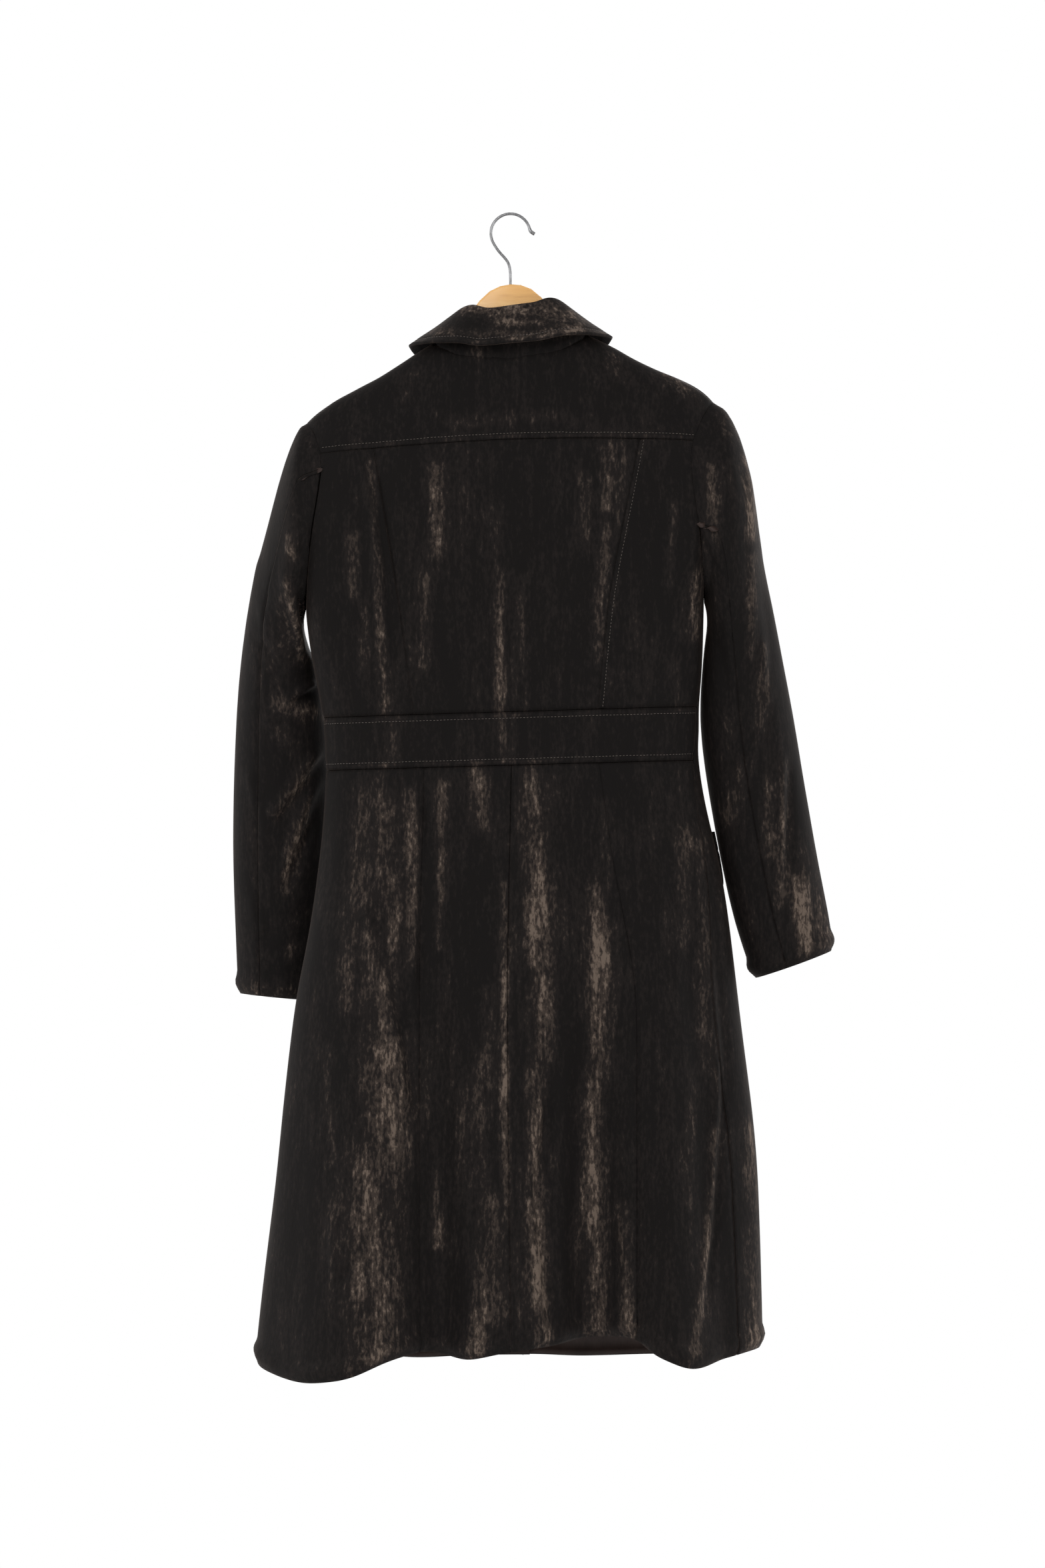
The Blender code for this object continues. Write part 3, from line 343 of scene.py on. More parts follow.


# the colour runs from the dark pile up to the painted sheen of the light patches; each noise is its stretch,
# scale, detail and gain, and mottles both
velvetSettings = {
    "stops": (
        (0.0, (0.0040, 0.0033, 0.0031)), (0.44, (0.0076, 0.0060, 0.0055)),
        (0.72, (0.0240, 0.0180, 0.0148)), (1.0, (0.0820, 0.0620, 0.0490)),
    ),
    "streaks": ((1, 1, 0.12), 170, 5, 1.1),
    "flecks": ((1, 1, 0.40), 360, 4, 1.5),
    "patches": ((1, 1, 0.22), 34, 4, 1.3),
    "napSheenGain": 0.64,
    "ground": 0.11,
    "roughness": 0.75,
    "specular": 0.06,
    "bump": (0.3, 0.0006),
    "sheen": 0.09,
    "sheenRoughness": 0.35,
    "sheenTint": (0.40, 0.30, 0.25, 1),
}


# a noise about zero, spread by a gain
def spreadNoise(tree, stretch, scale, detail, gain):
    value = stretchedNoise(tree, stretch, scale, detail)
    node = mathNode(tree, "MULTIPLY_ADD", value, gain)
    node.node.inputs[2].default_value = -gain / 2
    return node


def velvetMaterial():
    material, tree, shader = newMaterial("velvet")
    s = velvetSettings
    streaks = spreadNoise(tree, *s["streaks"])
    flecks = spreadNoise(tree, *s["flecks"])
    patches = spreadNoise(tree, *s["patches"])
    # the painted sheen, carried on the cloth as a point attribute
    napSheen = addNode(tree, "ShaderNodeAttribute", attribute_name="napSheen").outputs["Fac"]
    uneven = mathNode(tree, "ADD", mathNode(tree, "ADD", streaks, flecks), patches)
    strength = mathNode(tree, "MULTIPLY_ADD", napSheen, s["napSheenGain"])
    strength.node.inputs[2].default_value = s["ground"]
    shown = mathNode(tree, "ADD", strength, uneven, clamp=True)
    # the ramp paints the sheen into the colour: lighter where the painted sheen is strong
    tree.links.new(rampNode(tree, shown, s["stops"]), shader.inputs["Base Color"])
    shader.inputs["Roughness"].default_value = s["roughness"]
    shader.inputs["Specular IOR Level"].default_value = s["specular"]
    shader.inputs["Sheen Weight"].default_value = s["sheen"]
    shader.inputs["Sheen Roughness"].default_value = s["sheenRoughness"]
    shader.inputs["Sheen Tint"].default_value = s["sheenTint"]
    bumpFrom(tree, shader, mathNode(tree, "ADD", streaks, flecks), *s["bump"])
    return material


def satinMaterial():
    material, tree, shader = newMaterial("liningSatin")
    weave = stretchedNoise(tree, (1, 1, 0.08), 900, 2)
    soft = stretchedNoise(tree, (1, 1, 0.3), 22, 3)
    mix = mathNode(tree, "MULTIPLY_ADD", weave, 0.25)
    tree.links.new(soft, mix.node.inputs[2])
    colour = rampNode(tree, mix, ((0.3, (0.010, 0.0060, 0.0050)), (0.9, (0.030, 0.0195, 0.0165))))
    tree.links.new(colour, shader.inputs["Base Color"])
    shader.inputs["Roughness"].default_value = 0.50
    shader.inputs["Specular IOR Level"].default_value = 0.12
    bumpFrom(tree, shader, weave, 0.15, 0.0003)
    return material


def woodMaterial():
    material, tree, shader = newMaterial("hangerWood")
    grain = stretchedNoise(tree, (0.09, 1, 1), 260, 5)
    bands = stretchedNoise(tree, (0.16, 1, 1), 46, 3)
    mix = mathNode(tree, "MULTIPLY_ADD", grain, 0.45)
    tree.links.new(bands, mix.node.inputs[2])
    stops = ((0.40, (0.30, 0.140, 0.036)), (0.70, (0.52, 0.280, 0.082)), (1.0, (0.63, 0.390, 0.145)))
    tree.links.new(rampNode(tree, mix, stops), shader.inputs["Base Color"])
    shader.inputs["Roughness"].default_value = 0.38
    shader.inputs["Coat Weight"].default_value = 0.25
    shader.inputs["Coat Roughness"].default_value = 0.2
    bumpFrom(tree, shader, grain, 0.2, 0.0003)
    return material


def steelMaterial():
    material, tree, shader = newMaterial("hookSteel")
    brushed = stretchedNoise(tree, (1, 1, 0.2), 700, 3)
    stops = ((0.3, (0.13, 0.13, 0.13)), (0.8, (0.27, 0.27, 0.28)))
    tree.links.new(rampNode(tree, brushed, stops), shader.inputs["Base Color"])
    shader.inputs["Metallic"].default_value = 1.0
    rough = mathNode(tree, "MULTIPLY_ADD", brushed, 0.25)
    rough.node.inputs[2].default_value = 0.18
    tree.links.new(rough, shader.inputs["Roughness"])
    return material


def threadMaterial():
    material, tree, shader = newMaterial("sewingThread")
    twist = stretchedNoise(tree, (1, 1, 1), 1500, 2)
    stops = ((0.3, (0.022, 0.016, 0.013)), (0.8, (0.075, 0.058, 0.046)))
    tree.links.new(rampNode(tree, twist, stops), shader.inputs["Base Color"])
    shader.inputs["Roughness"].default_value = 0.6
    return material


velvet = velvetMaterial()
satin = satinMaterial()
wood = woodMaterial()
steel = steelMaterial()
thread = threadMaterial()
print("finishes made")


# the solids' wall and the shells that stand for them; a skin is told from its rims by thickness in
# walls, by what it faces and by bend in degrees, and the collar's roll by its bend alone
shellSettings = {
    "wall": 0.0030, "shell": 0.0026, "lining": 0.0012, "fitRounds": 3, "upright": 0.6,
    "weld": 1e-5, "rayStart": 1e-5, "axisDepth": 0.003, "openBend": 4.0,
    "flat": (1.55, -0.85, 180), "rolled": (99, 1.1, 36),
}
sleeveAxes = {
    "left": (Vector((-0.2075, 0.0, -0.310)), Vector((-0.236, 0.071, -0.800))),
    "right": (Vector((0.2015, 0.0, -0.293)), Vector((0.2895, 0.019, -0.765))),
}


def axisPoint(zone, point):
    if zone not in sleeveAxes:
        return Vector((0, shellSettings["axisDepth"], point.z))
    top, low = sleeveAxes[zone]
    return top.lerp(low, (point.z - top.z) / (low.z - top.z))


# faces that hang together across edges that bend less than a limit
def grownFrom(start, allowed, bend):
    found = {start}
    queue = [start]
    for face in queue:
        for edge in face.edges:
            if edge.calc_face_angle(shellSettings["openBend"]) >= bend:
                continue
            for other in edge.link_faces:
                if other in allowed and other not in found:
                    found.add(other)
                    queue.append(other)
    return found


def weldedNode(name):
    bm = bmesh.new()
    bm.from_mesh(nodes[name].data)
    bmesh.ops.remove_doubles(bm, verts=bm.verts[:], dist=shellSettings["weld"])
    return bm


# the outside of a solid's wall, as the quads that it was made of
def outerSkin(name, zone):
    thickness, facing, bend = shellSettings["rolled" if zone == "collar" else "flat"]
    bm = weldedNode(name)
    tree = BVHTree.FromBMesh(bm)
    walls = set()
    for face in bm.faces:
        start = face.calc_center_median() - face.normal * shellSettings["rayStart"]
        hit = tree.ray_cast(start, -face.normal)
        isThin = hit[0] is not None and hit[3] < shellSettings["wall"] * thickness
        if isThin and hit[1].dot(face.normal) < facing:
            walls.add(face)
    islands = []
    left = set(walls)
    while left:
        island = grownFrom(next(iter(left)), walls, math.radians(bend))
        left -= island
        islands.append(island)
    outwards = {}
    for island in sorted(islands, key=len)[-2:]:  # the wall's outside and inside
        total = 0.0
        for face in island:
            centre = face.calc_center_median()
            total += face.calc_area() * face.normal.dot(centre - axisPoint(zone, centre))
        outwards[total] = island
    keep = set(outwards[max(outwards)])
    diagonals = diagonalsOf(keep)
    for edge in diagonals:  # also the half quads that a slanted edge hides
        keep.update(edge.link_faces)
    bmesh.ops.delete(bm, geom=[face for face in bm.faces if face not in keep], context="FACES")
    bmesh.ops.dissolve_edges(bm, edges=list(diagonals), use_verts=False)
    odd = sum(len(face.verts) != 4 for face in bm.faces)
    if odd:
        print(name, "has", odd, "faces that aren't quads")
    return bm


# every quad is split the same way, so one known diagonal gives its neighbours'
def diagonalsOf(faces):
    count = {}
    for face in faces:
        for vert in face.verts:
            count.setdefault(vert, []).append(face)
    best = None
    for corner, around in count.items():
        if len(around) > 1:
            continue
        known = {around[0]: next(edge for edge in around[0].edges if corner not in edge.verts)}
        queue = [around[0]]
        for face in queue:
            diagonal = known[face]
            for edge in face.edges:
                for other in edge.link_faces:
                    if other in known or other not in faces:
                        continue
                    if edge is diagonal:
                        known[other] = diagonal
                    else:
                        shared = next(vert for vert in edge.verts if vert in diagonal.verts)
                        known[other] = next(e for e in other.edges if e is not edge and shared not in e.verts)
                    queue.append(other)
        found = set(known.values())
        if best is None or len(found) < len(best):
            best = found
    return best


def evaluated(obj):
    bpy.context.view_layer.update()
    return obj.evaluated_get(bpy.context.evaluated_depsgraph_get())


# a smooth surface through the skin's corners, fine enough for creases
def roundedSkin(bm, name, levels, splitRows):
    goals = [vert.co.copy() for vert in bm.verts]
    mesh = bpy.data.meshes.new(name)
    bm.to_mesh(mesh)
    obj = bpy.data.objects.new(name, mesh)
    scene.collection.objects.link(obj)
    mod = obj.modifiers.new("round", "SUBSURF")
    mod.boundary_smooth = "PRESERVE_CORNERS"
    mod.levels = mod.render_levels = 1 if splitRows else levels
    for _ in range(shellSettings["fitRounds"]):
        fitted = evaluated(obj).data
        moves = [goal - fitted.vertices[i].co for i, goal in enumerate(goals)]
        for vert, move in zip(mesh.vertices, moves):
            vert.co += move
    fine = bpy.data.meshes.new_from_object(evaluated(obj))
    bm.clear()
    bm.from_mesh(fine)
    if splitRows:
        upright = []
        for edge in bm.edges:
            rise = abs(edge.verts[0].co.z - edge.verts[1].co.z)
            if rise > shellSettings["upright"] * edge.calc_length():
                upright.append(edge)
        bmesh.ops.subdivide_edges(bm, edges=upright, cuts=1)
        bm.to_mesh(mesh)
        mod.levels = mod.render_levels = levels - 1
        fine = bpy.data.meshes.new_from_object(evaluated(obj))
        bm.clear()
        bm.from_mesh(fine)
    bpy.data.objects.remove(obj)
    return bm


# the four edges of a skin, from corner to corner
def skinSides(bm, byAcross):
    rim = {vert: [e for e in vert.link_edges if e.is_boundary] for vert in bm.verts if vert.is_boundary}
    corners = [vert for vert in rim if len(vert.link_edges) == 2]
    sides = []
    walked = set()
    for corner in corners:
        for edge in rim[corner]:
            if edge in walked:
                continue
            run = [corner]
            while True:
                walked.add(edge)
                run.append(edge.other_vert(run[-1]))
                if run[-1] in corners or len(run) > len(rim):
                    break
                edge = next(e for e in rim[run[-1]] if e is not edge)
            sides.append(run)
    places = [sum((vert.co for vert in run), Vector()) / len(run) for run in sides]
    order = list(range(len(sides)))
    first, second = ("x", "z") if byAcross else ("z", "x")
    order.sort(key=lambda i: getattr(places[i], first))
    middle = sorted(order[1:-1], key=lambda i: getattr(places[i], second))
    if byAcross:
        picks = {"left": order[0], "right": order[-1], "bottom": middle[0], "top": middle[-1]}
    else:
        picks = {"bottom": order[0], "top": order[-1], "left": middle[0], "right": middle[-1]}
    return {side: sides[i] for side, i in picks.items()}


def distanceTo(points, run):
    tree = KDTree(len(run))
    for i, point in enumerate(run):
        tree.insert(point, i)
    tree.balance()
    return np.array([tree.find(point)[2] for point in points]) / mm


seamSettings = {"valley": 1.1, "valleyWidth": 2.6, "pucker": 0.55, "puckerReach": 9, "puckerPitch": 7.5}
hemSettings = {
    "swell": 2.4, "reach": 24, "tuck": 2.2, "tuckReach": 4, "lumps": 1.1,
    "lumpPitch": 21, "lumpDepth": 45, "lumpLevel": 3.0,
}
# one entry is the strength of the painted highlight along topstitched edges
stitchSettings = {
    "length": 2.6, "pitch": 3.5, "thickness": 0.34, "groove": 0.55, "grooveWidth": 1.5, "edgeHighlight": 0.55,
    "stand": 0.1, "segments": 6, "rings": 4,
}
swaySettings = {"height": 0.7, "across": 24, "depth": 40, "along": 130}
sideSettings = {"start": 0.25, "length": 0.5}


# a measure by the back's rows, passing over to the front's where the cloth goes round the side
def roundTheSide(measure, tables, points, normals):
    across = points[:, 0] / mm
    height = points[:, 2] / mm
    isBack = eased((sideSettings["start"] - normals[:, 1]) / sideSettings["length"])
    backRows, frontRows = tables
    return measure(across, height, backRows) * isBack + measure(across, height, frontRows) * (1 - isBack)


# how far each point of a skin stands off the solid's outside, in mm
def skinLift(points, normals, zone, sides, seams, hems, stitched):
    lift = roundTheSide(creaseLift, creaseTables[zone], points, normals)
    places = list(zip(points[:, 0] / mm, points[:, 1], points[:, 2] / mm))
    w = swaySettings
    spots = [Vector((x / w["across"], y * w["depth"], z / w["along"])) for x, y, z in places]
    lift += [w["height"] * noise.noise(spot) for spot in spots]
    s = seamSettings
    for side in seams:
        off = distanceTo(points, sides[side])
        wave = [noise.noise(Vector(p) * (1000 / s["puckerPitch"])) for p in points]
        lift -= s["valley"] * np.exp(-((off / s["valleyWidth"]) ** 2))
        lift += s["pucker"] * np.array(wave) * np.exp(-off / s["puckerReach"])
    h = hemSettings
    for side in hems:
        off = distanceTo(points, sides[side])
        spots = [Vector((x / h["lumpPitch"], y * h["lumpDepth"], h["lumpLevel"])) for x, y, _ in places]
        lumps = [noise.noise(spot) for spot in spots]
        swell = np.sin(math.pi * np.clip(off / h["reach"], 0, 1)) ** 2
        lift += (h["swell"] + h["lumps"] * np.array(lumps)) * swell
        lift -= h["tuck"] * np.exp(-((off / h["tuckReach"]) ** 2))
    for side, inset in stitched.items():
        off = distanceTo(points, sides[side]) - inset
        lift -= stitchSettings["groove"] * np.exp(-((off / stitchSettings["grooveWidth"]) ** 2))
    return lift


def napSheenOf(points, normals, lift, zone, runs, stitched):
    s = napSheenSettings
    amount = roundTheSide(napSheenAmount, napSheenTables[zone], points, normals)
    # raised places are painted lighter as a highlight, sunk ones darker as painted shade
    amount += s["highlightAndShadeFromLift"] * np.clip(lift, *s["liftRange"])
    # a painted highlight along each topstitched edge, broken up by noise
    for side, inset in stitched.items():
        off = distanceTo(points, runs[side]) - s["edgeHighlightPlace"] * inset
        width = s["edgeHighlightWidth"] * inset
        edgeHighlight = [s["edgeHighlightBase"] + noise.noise(Vector(p) * s["edgeHighlightScale"]) for p in points]
        amount += stitchSettings["edgeHighlight"] * np.array(edgeHighlight) * np.exp(-((off / width) ** 2))
    return np.clip(amount, 0, 1)


relaxSettings = {"rounds": 60, "factor": 0.5}


# a tight fold in the solid's facets is eased out
def relax(bm, spots):
    for place, reach in spots:
        near = [v for v in bm.verts if not v.is_boundary and (v.co - Vector(place)).length < reach]
        for _ in range(relaxSettings["rounds"]):
            bmesh.ops.smooth_vert(
                bm, verts=near, factor=relaxSettings["factor"],
                use_axis_x=True, use_axis_y=True, use_axis_z=True,
            )


# the sewing allowance behind a seam: in towards the body's axis and down, in mm
def turnIn(bm, run, drop):
    inside = set(run)
    edges = [e for e in bm.edges if e.is_boundary and all(vert in inside for vert in e.verts)]
    grown = bmesh.ops.extrude_edge_only(bm, edges=edges)["geom"]
    added = [item for item in grown if isinstance(item, bmesh.types.BMVert)]
    for vert in added:
        inward = Vector((-vert.co.x, shellSettings["axisDepth"] - vert.co.y, 0)).normalized()
        vert.co += inward * drop[0] * mm - Vector((0, 0, drop[1] * mm))
    return len(added)


stitchLines = bmesh.new()


# small stitches at an even pitch along an edge, moved in from it
def sewAlong(bm, run, inset):
    tree = BVHTree.FromBMesh(bm)
    line = bmesh.new()
    s = stitchSettings
    gone = 0.0
    due = s["pitch"]
    for start, end in zip(run, run[1:]):
        step = end - start
        while gone + step.length / mm >= due:
            place = start.lerp(end, (due - gone) * mm / step.length)
            due += s["pitch"]
            normal = tree.find_nearest(place)[1]
            inward = normal.cross(step).normalized()
            spots = [tree.find_nearest(place + inward * (way * inset * mm)) for way in (1, -1)]
            spot = max(spots, key=lambda found: (found[0] - place).length)
            along = step.normalized()
            side = spot[1].cross(along).normalized()
            turn = Matrix((along, side, spot[1])).transposed().to_4x4()
            size = Matrix.Diagonal((s["length"] / 2 * mm, s["thickness"] * mm, s["thickness"] * mm, 1))
            matrix = Matrix.Translation(spot[0] + spot[1] * s["stand"] * mm) @ turn @ size
            bmesh.ops.create_uvsphere(
                line, u_segments=s["segments"], v_segments=s["rings"], radius=1, matrix=matrix,
            )
        gone += step.length / mm
    sewn = bpy.data.meshes.new("stitches")
    line.to_mesh(sewn)
    line.free()
    stitchLines.from_mesh(sewn)
    bpy.data.meshes.remove(sewn)


def finishedPiece(name, mesh, materials, stands):
    for material in materials:
        mesh.materials.append(material)
    mesh.shade_smooth()
    obj = bpy.data.objects.new(name, mesh)
    scene.collection.objects.link(obj)
    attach(obj, "root")
    if stands:
        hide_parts(*stands)
    return obj


# one row for each cloth piece: its zone, fineness, edges that are sewn, hemmed or topstitched,
# its flat cut with the cut's area, and what it hangs from
clothPieces = {
    "back_yoke": dict(
        zone="body", levels=3, byAcross=True, seams=("bottom", "top"), stitched={"bottom": 6},
        relaxed=(((0.193, -0.020, -0.200), 0.045), ((-0.203, -0.018, -0.210), 0.030)),
        flat=(0.435, 0.150), area=0.041, on=["hanger_body"],
    ),
    "back_bodice_centre": dict(
        zone="body", levels=3, seams=("bottom", "left", "right", "top"),
        flat=(0.285, 0.285), area=0.065, on=["back_yoke_cloth"],
    ),
    "back_bodice_side_left": dict(
        zone="body", levels=3, seams=("bottom", "right", "top"),
        turned={"right": (9, 0)},
        flat=(0.125, 0.285), area=0.029, on=["back_yoke_cloth"],
    ),
    "back_bodice_side_right": dict(
        zone="body", levels=3, seams=("bottom", "left", "top"), stitched={"left": 4},
        turned={"left": (9, 0)},
        flat=(0.125, 0.285), area=0.028, on=["back_yoke_cloth"],
    ),
    "back_waistband": dict(
        zone="body", levels=3, seams=("bottom", "left", "right", "top"), stitched={"bottom": 6.5, "top": 6.5},
        flat=(0.430, 0.056), on=["back_bodice_centre_cloth"],
    ),
    "back_skirt_side_left": dict(
        zone="body", levels=3, splitRows=True, seams=("left", "right", "top"), hems=("bottom",),
        turned={"left": (8, 0), "right": (9, 0)},
        flat=(0.240, 0.620), area=0.125, on=["back_waistband_cloth"],
    ),
    "back_skirt_centre_left": dict(
        zone="body", levels=3, splitRows=True, seams=("left", "right", "top"), hems=("bottom",),
        turned={"right": (8, 0)},
        flat=(0.105, 0.600), area=0.057, on=["back_waistband_cloth"],
    ),
    "back_skirt_centre_right": dict(
        zone="body", levels=3, splitRows=True, seams=("left", "right", "top"), hems=("bottom",),
        flat=(0.150, 0.600), area=0.077, on=["back_waistband_cloth"],
    ),
    "back_skirt_side_right": dict(
        zone="body", levels=3, splitRows=True, seams=("left", "right", "top"), hems=("bottom",),
        turned={"left": (9, 0), "right": (8, 0)},
        flat=(0.150, 0.610), area=0.066, on=["back_waistband_cloth"],
    ),
    "front_left": dict(
        zone="body", levels=3, seams=("top",), hems=("bottom",), stitched={"right": 7},
        flat=(0.330, 1.080), area=0.270, on=["hanger_body"],
    ),
    "front_right": dict(
        zone="body", levels=3, seams=("top",), hems=("bottom",), stitched={"left": 7},
        flat=(0.370, 1.080), area=0.315, on=["hanger_body"],
    ),
    "collar_stand": dict(
        zone="collar", levels=2, byAcross=True, seams=(), turned={"bottom": (3, 9)},
        flat=(0.400, 0.050), area=0.015, on=["back_yoke_cloth"],
    ),
    "collar_fall": dict(
        zone="collar", levels=3, byAcross=True, seams=(), stitched={"bottom": 7.5}, turned={"top": (5, 3)},
        flat=(0.470, 0.080), area=0.031, on=["collar_stand_cloth"],
    ),
    "pocket_flap_left": dict(
        zone="body", levels=3, seams=(), stitched={"bottom": 6},
        flat=(0.100, 0.055), on=["front_left_cloth"],
    ),
    "pocket_flap_right": dict(
        zone="body", levels=3, seams=(), stitched={"bottom": 6},
        flat=(0.085, 0.055), on=["front_right_cloth"],
    ),
    "sleeve_under_left": dict(
        zone="left", levels=3, splitRows=True, seams=("left", "right"), hems=("bottom",),
        turned={"top": (6, 0)},
        flat=(0.150, 0.480), area=0.053, on=["back_yoke_cloth"],
    ),
    "sleeve_upper_left": dict(
        zone="left", levels=3, splitRows=True, seams=("left", "right"), hems=("bottom",),
        turned={"top": (10, 2)},
        flat=(0.230, 0.600), area=0.101, on=["back_yoke_cloth"],
    ),
    "sleeve_under_right": dict(
        zone="right", levels=3, splitRows=True, seams=("left", "right"), hems=("bottom",),
        turned={"top": (6, 0)},
        flat=(0.140, 0.480), area=0.045, on=["back_yoke_cloth"],
    ),
    "sleeve_upper_right": dict(
        zone="right", levels=3, splitRows=True, seams=("left", "right"), hems=("bottom",),
        turned={"top": (10, 2)},
        flat=(0.230, 0.600), area=0.109, on=["back_yoke_cloth"],
    ),
    "front_lining_left": dict(
        zone="body", levels=2, seams=(), flat=(0.200, 0.600), area=0.082, on=["front_left_cloth"],
    ),
    "front_lining_right": dict(
        zone="body", levels=2, seams=(), flat=(0.190, 0.600), area=0.079, on=["front_right_cloth"],
    ),
}


def makeCloth(name, s):
    isLining = "lining" in name
    bm = outerSkin(name, s["zone"])
    quads = len(bm.faces)
    bm = roundedSkin(bm, name + "_skin", s["levels"], s.get("splitRows", False))
    relax(bm, s.get("relaxed", ()))
    bm.normal_update()
    sides = skinSides(bm, s.get("byAcross", False))
    runs = {side: [vert.co.copy() for vert in run] for side, run in sides.items()}
    points = np.array([vert.co for vert in bm.verts])
    normals = np.array([vert.normal for vert in bm.verts])
    stitched = s.get("stitched", {})
    lift = skinLift(points, normals, s["zone"], runs, s["seams"], s.get("hems", ()), stitched)
    # the painted sheen of each point, with painted highlight and shade from the lift
    napSheen = napSheenOf(points, normals, lift, s["zone"], runs, stitched)
    moved = points + normals * lift[:, None] * mm
    for vert, place in zip(bm.verts, moved):
        vert.co = place
    bm.normal_update()
    for side, inset in stitched.items():
        sewAlong(bm, [vert.co.copy() for vert in sides[side]], inset)
    turned = [turnIn(bm, sides[side], drop) for side, drop in s.get("turned", {}).items()]
    napSheen = np.append(napSheen, np.zeros(sum(turned)))
    mesh = bpy.data.meshes.new(name + "_cloth")
    bm.to_mesh(mesh)
    bm.free()
    # the painted sheen is stored on the points for the velvet's colour
    attribute = mesh.attributes.new("napSheen", "FLOAT", "POINT")
    attribute.data.foreach_set("value", napSheen.astype(np.float32))
    isDouble = name.startswith(("collar", "pocket"))
    finishes = [satin, satin] if isLining else [velvet, velvet if isDouble else satin]
    obj = finishedPiece(name + "_cloth", mesh, finishes, [name])
    wall = obj.modifiers.new("cloth", "SOLIDIFY")
    wall.thickness = shellSettings["lining" if isLining else "shell"]
    wall.offset = -1
    wall.material_offset = 1
    wall.material_offset_rim = 0
    spread = sum(face.area for face in mesh.polygons)
    measures = ("area", round(spread, 4), "lift", round(lift.min(), 1), round(lift.max(), 1))
    print(name, quads, "quads to", len(mesh.polygons), *measures)
    return obj


cloths = {name: makeCloth(name, settings) for name, settings in clothPieces.items()}
print("cloth made")

stitchMesh = bpy.data.meshes.new("topstitching")
stitchLines.to_mesh(stitchMesh)
stitchLines.free()
topstitching = finishedPiece("topstitching", stitchMesh, [thread], [])
print("topstitching", len(stitchMesh.polygons), "faces")


# covered buttons: a dome turned about its middle and tucked in underneath
buttonSettings = {
    "turns": 28, "weld": 1e-6,
    "profile": (
        (0, 1), (0.35, 0.95), (0.68, 0.72), (0.9, 0.3),
        (1, -0.1), (0.97, -0.42), (0.6, -0.62), (0, -0.7),
    ),
}


def makeButton(name):
    low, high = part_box(name)
    middle = (low + high) / 2
    radius = (high.x - low.x) / 2
    depth = (high.y - low.y) / 2
    bm = bmesh.new()
    profile = [bm.verts.new((out * radius, up * depth, 0)) for out, up in buttonSettings["profile"]]
    edges = [bm.edges.new(pair) for pair in zip(profile, profile[1:])]
    bmesh.ops.spin(
        bm, geom=profile + edges, cent=(0, 0, 0), axis=(0, 1, 0), angle=math.tau,
        steps=buttonSettings["turns"], use_merge=True,
    )
    bmesh.ops.remove_doubles(bm, verts=bm.verts[:], dist=buttonSettings["weld"])
    bmesh.ops.recalc_face_normals(bm, faces=bm.faces[:])
    bmesh.ops.translate(bm, vec=middle, verts=bm.verts[:])
    mesh = bpy.data.meshes.new(name + "_covered")
    bm.to_mesh(mesh)
    bm.free()
    return finishedPiece(name + "_covered", mesh, [velvet], [name])


for name in sorted(nodes):
    if name.startswith("button"):
        makeButton(name)
print("buttons made")


# hanger and hook: the solids' own forms, the hook rounded and the hanger's sharp edges kept
hangerSettings = {"hookLevels": 1, "bodyLevels": 0, "sharp": 32}


def smoothedNode(name, material, levels):
    bm = weldedNode(name)
    mesh = bpy.data.meshes.new(name + "_finish")
    bm.to_mesh(mesh)
    bm.free()
    obj = finishedPiece(name + "_finish", mesh, [material], [name])
    if levels:
        mod = obj.modifiers.new("round", "SUBSURF")
        mod.levels = mod.render_levels = levels
    return obj


smoothedNode("hanger_hook", steel, hangerSettings["hookLevels"])
body = smoothedNode("hanger_body", wood, hangerSettings["bodyLevels"])
body.data.set_sharp_from_angle(angle=math.radians(hangerSettings["sharp"]))
print("hanger made")


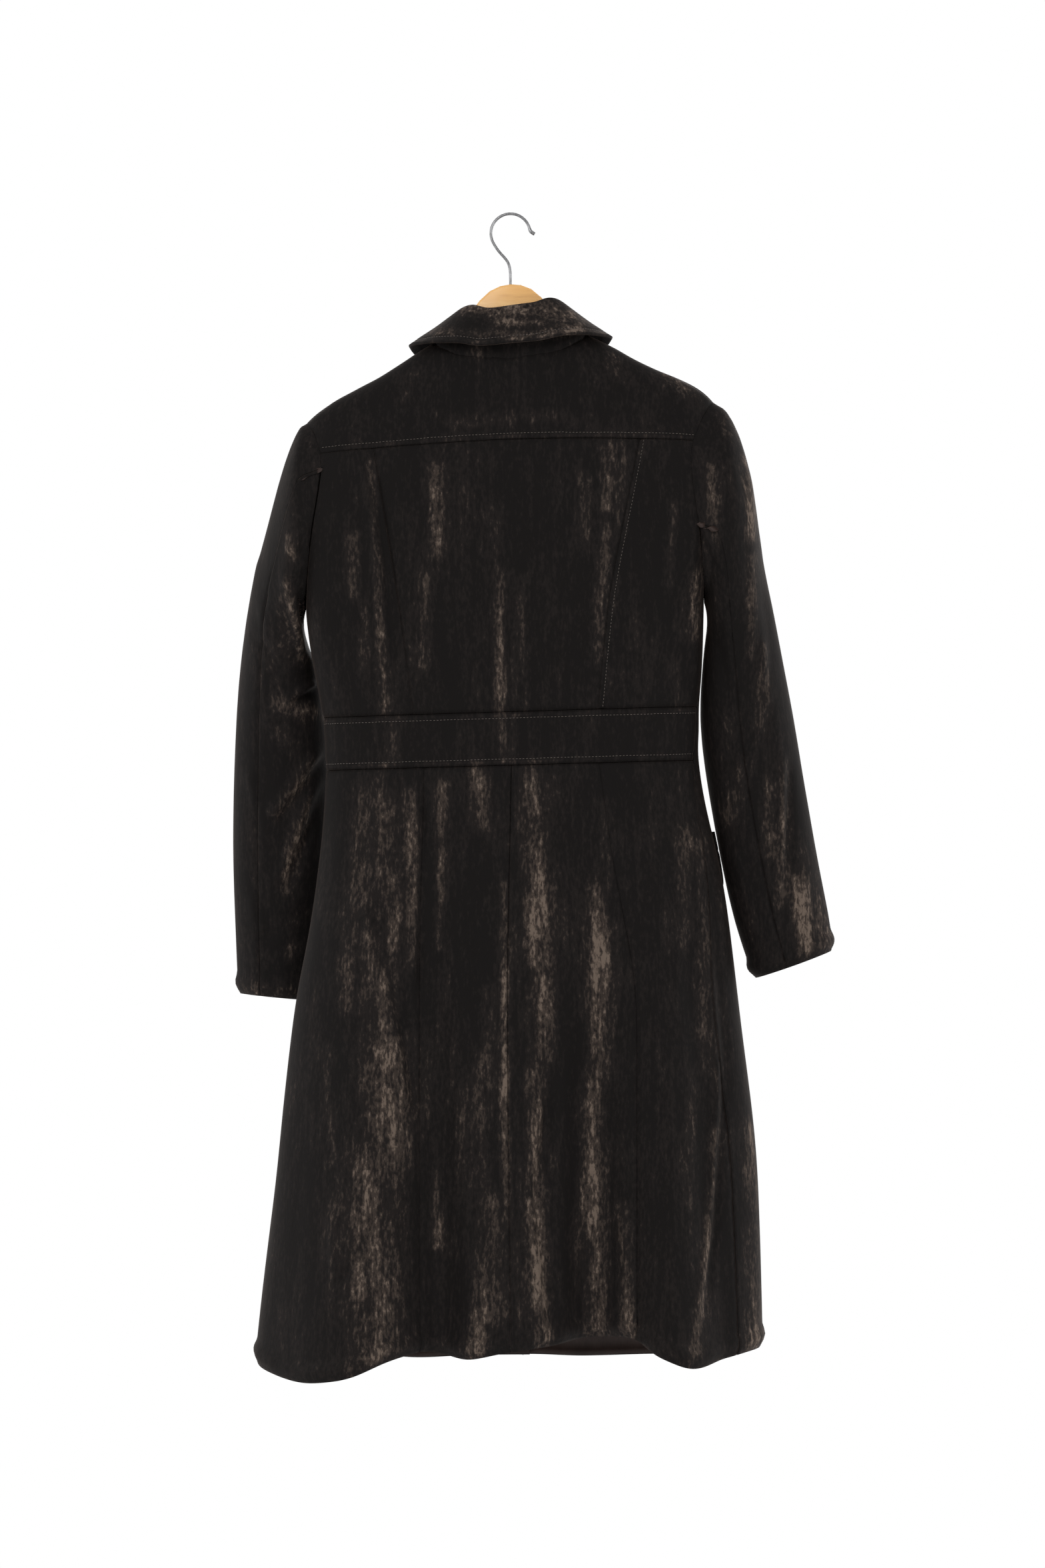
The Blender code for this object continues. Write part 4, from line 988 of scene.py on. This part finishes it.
# stage, light and camera
stageSettings = {"floor": -1.62, "half": 1.4, "aim": -0.6, "world": 1.0}
cameraSettings = {"across": 0.01224, "height": -0.580, "away": 5.5, "frameHeight": 1.599}
lights = (
    ("key", (-1.5, -3.2, 0.9), 2.2, 60),
    ("fill", (2.4, -3.0, -0.3), 2.4, 30),
    ("sideLeft", (-2.4, 0.5, -0.4), 2.0, 30),
    ("sideRight", (2.4, 0.6, -0.4), 2.0, 34),
    ("behind", (0.4, 3.4, 0.6), 2.4, 45),
)


def makeStage():
    s = stageSettings
    bm = bmesh.new()
    place = Matrix.Translation((0, 0, s["floor"]))
    bmesh.ops.create_grid(bm, x_segments=2, y_segments=2, size=s["half"], matrix=place)
    mesh = bpy.data.meshes.new("paleFloor")
    bm.to_mesh(mesh)
    bm.free()
    material, tree, shader = newMaterial("paleFloor")
    grain = stretchedNoise(tree, (1, 1, 1), 3, 2)
    colour = rampNode(tree, grain, ((0.0, (0.90, 0.90, 0.90)), (1.0, (0.94, 0.94, 0.94))))
    tree.links.new(colour, shader.inputs["Base Color"])
    shader.inputs["Roughness"].default_value = 0.9
    mesh.materials.append(material)
    floor = bpy.data.objects.new("paleFloor", mesh)
    scene.collection.objects.link(floor)


def makeLights():
    target = Vector((0, 0, stageSettings["aim"]))
    for name, place, size, power in lights:
        lamp = bpy.data.lights.new(name, "AREA")
        lamp.size = size
        lamp.energy = power
        obj = bpy.data.objects.new(name, lamp)
        obj.location = place
        obj.rotation_euler = (target - Vector(place)).to_track_quat("-Z", "Y").to_euler()
        scene.collection.objects.link(obj)
    world = bpy.data.worlds.new("studio")
    world.use_nodes = True
    background = world.node_tree.nodes["Background"]
    background.inputs["Color"].default_value = (1, 1, 1, 1)
    background.inputs["Strength"].default_value = stageSettings["world"]
    scene.world = world


def makeCamera():
    s = cameraSettings
    data = bpy.data.cameras.new("photoView")
    data.lens = data.sensor_width * s["away"] / s["frameHeight"]
    camera = bpy.data.objects.new("photoView", data)
    camera.location = (s["across"], -s["away"], s["height"])
    camera.rotation_euler = (math.pi / 2, 0, 0)
    scene.collection.objects.link(camera)
    scene.camera = camera


makeStage()
makeLights()
makeCamera()
print("stage, light and camera made")
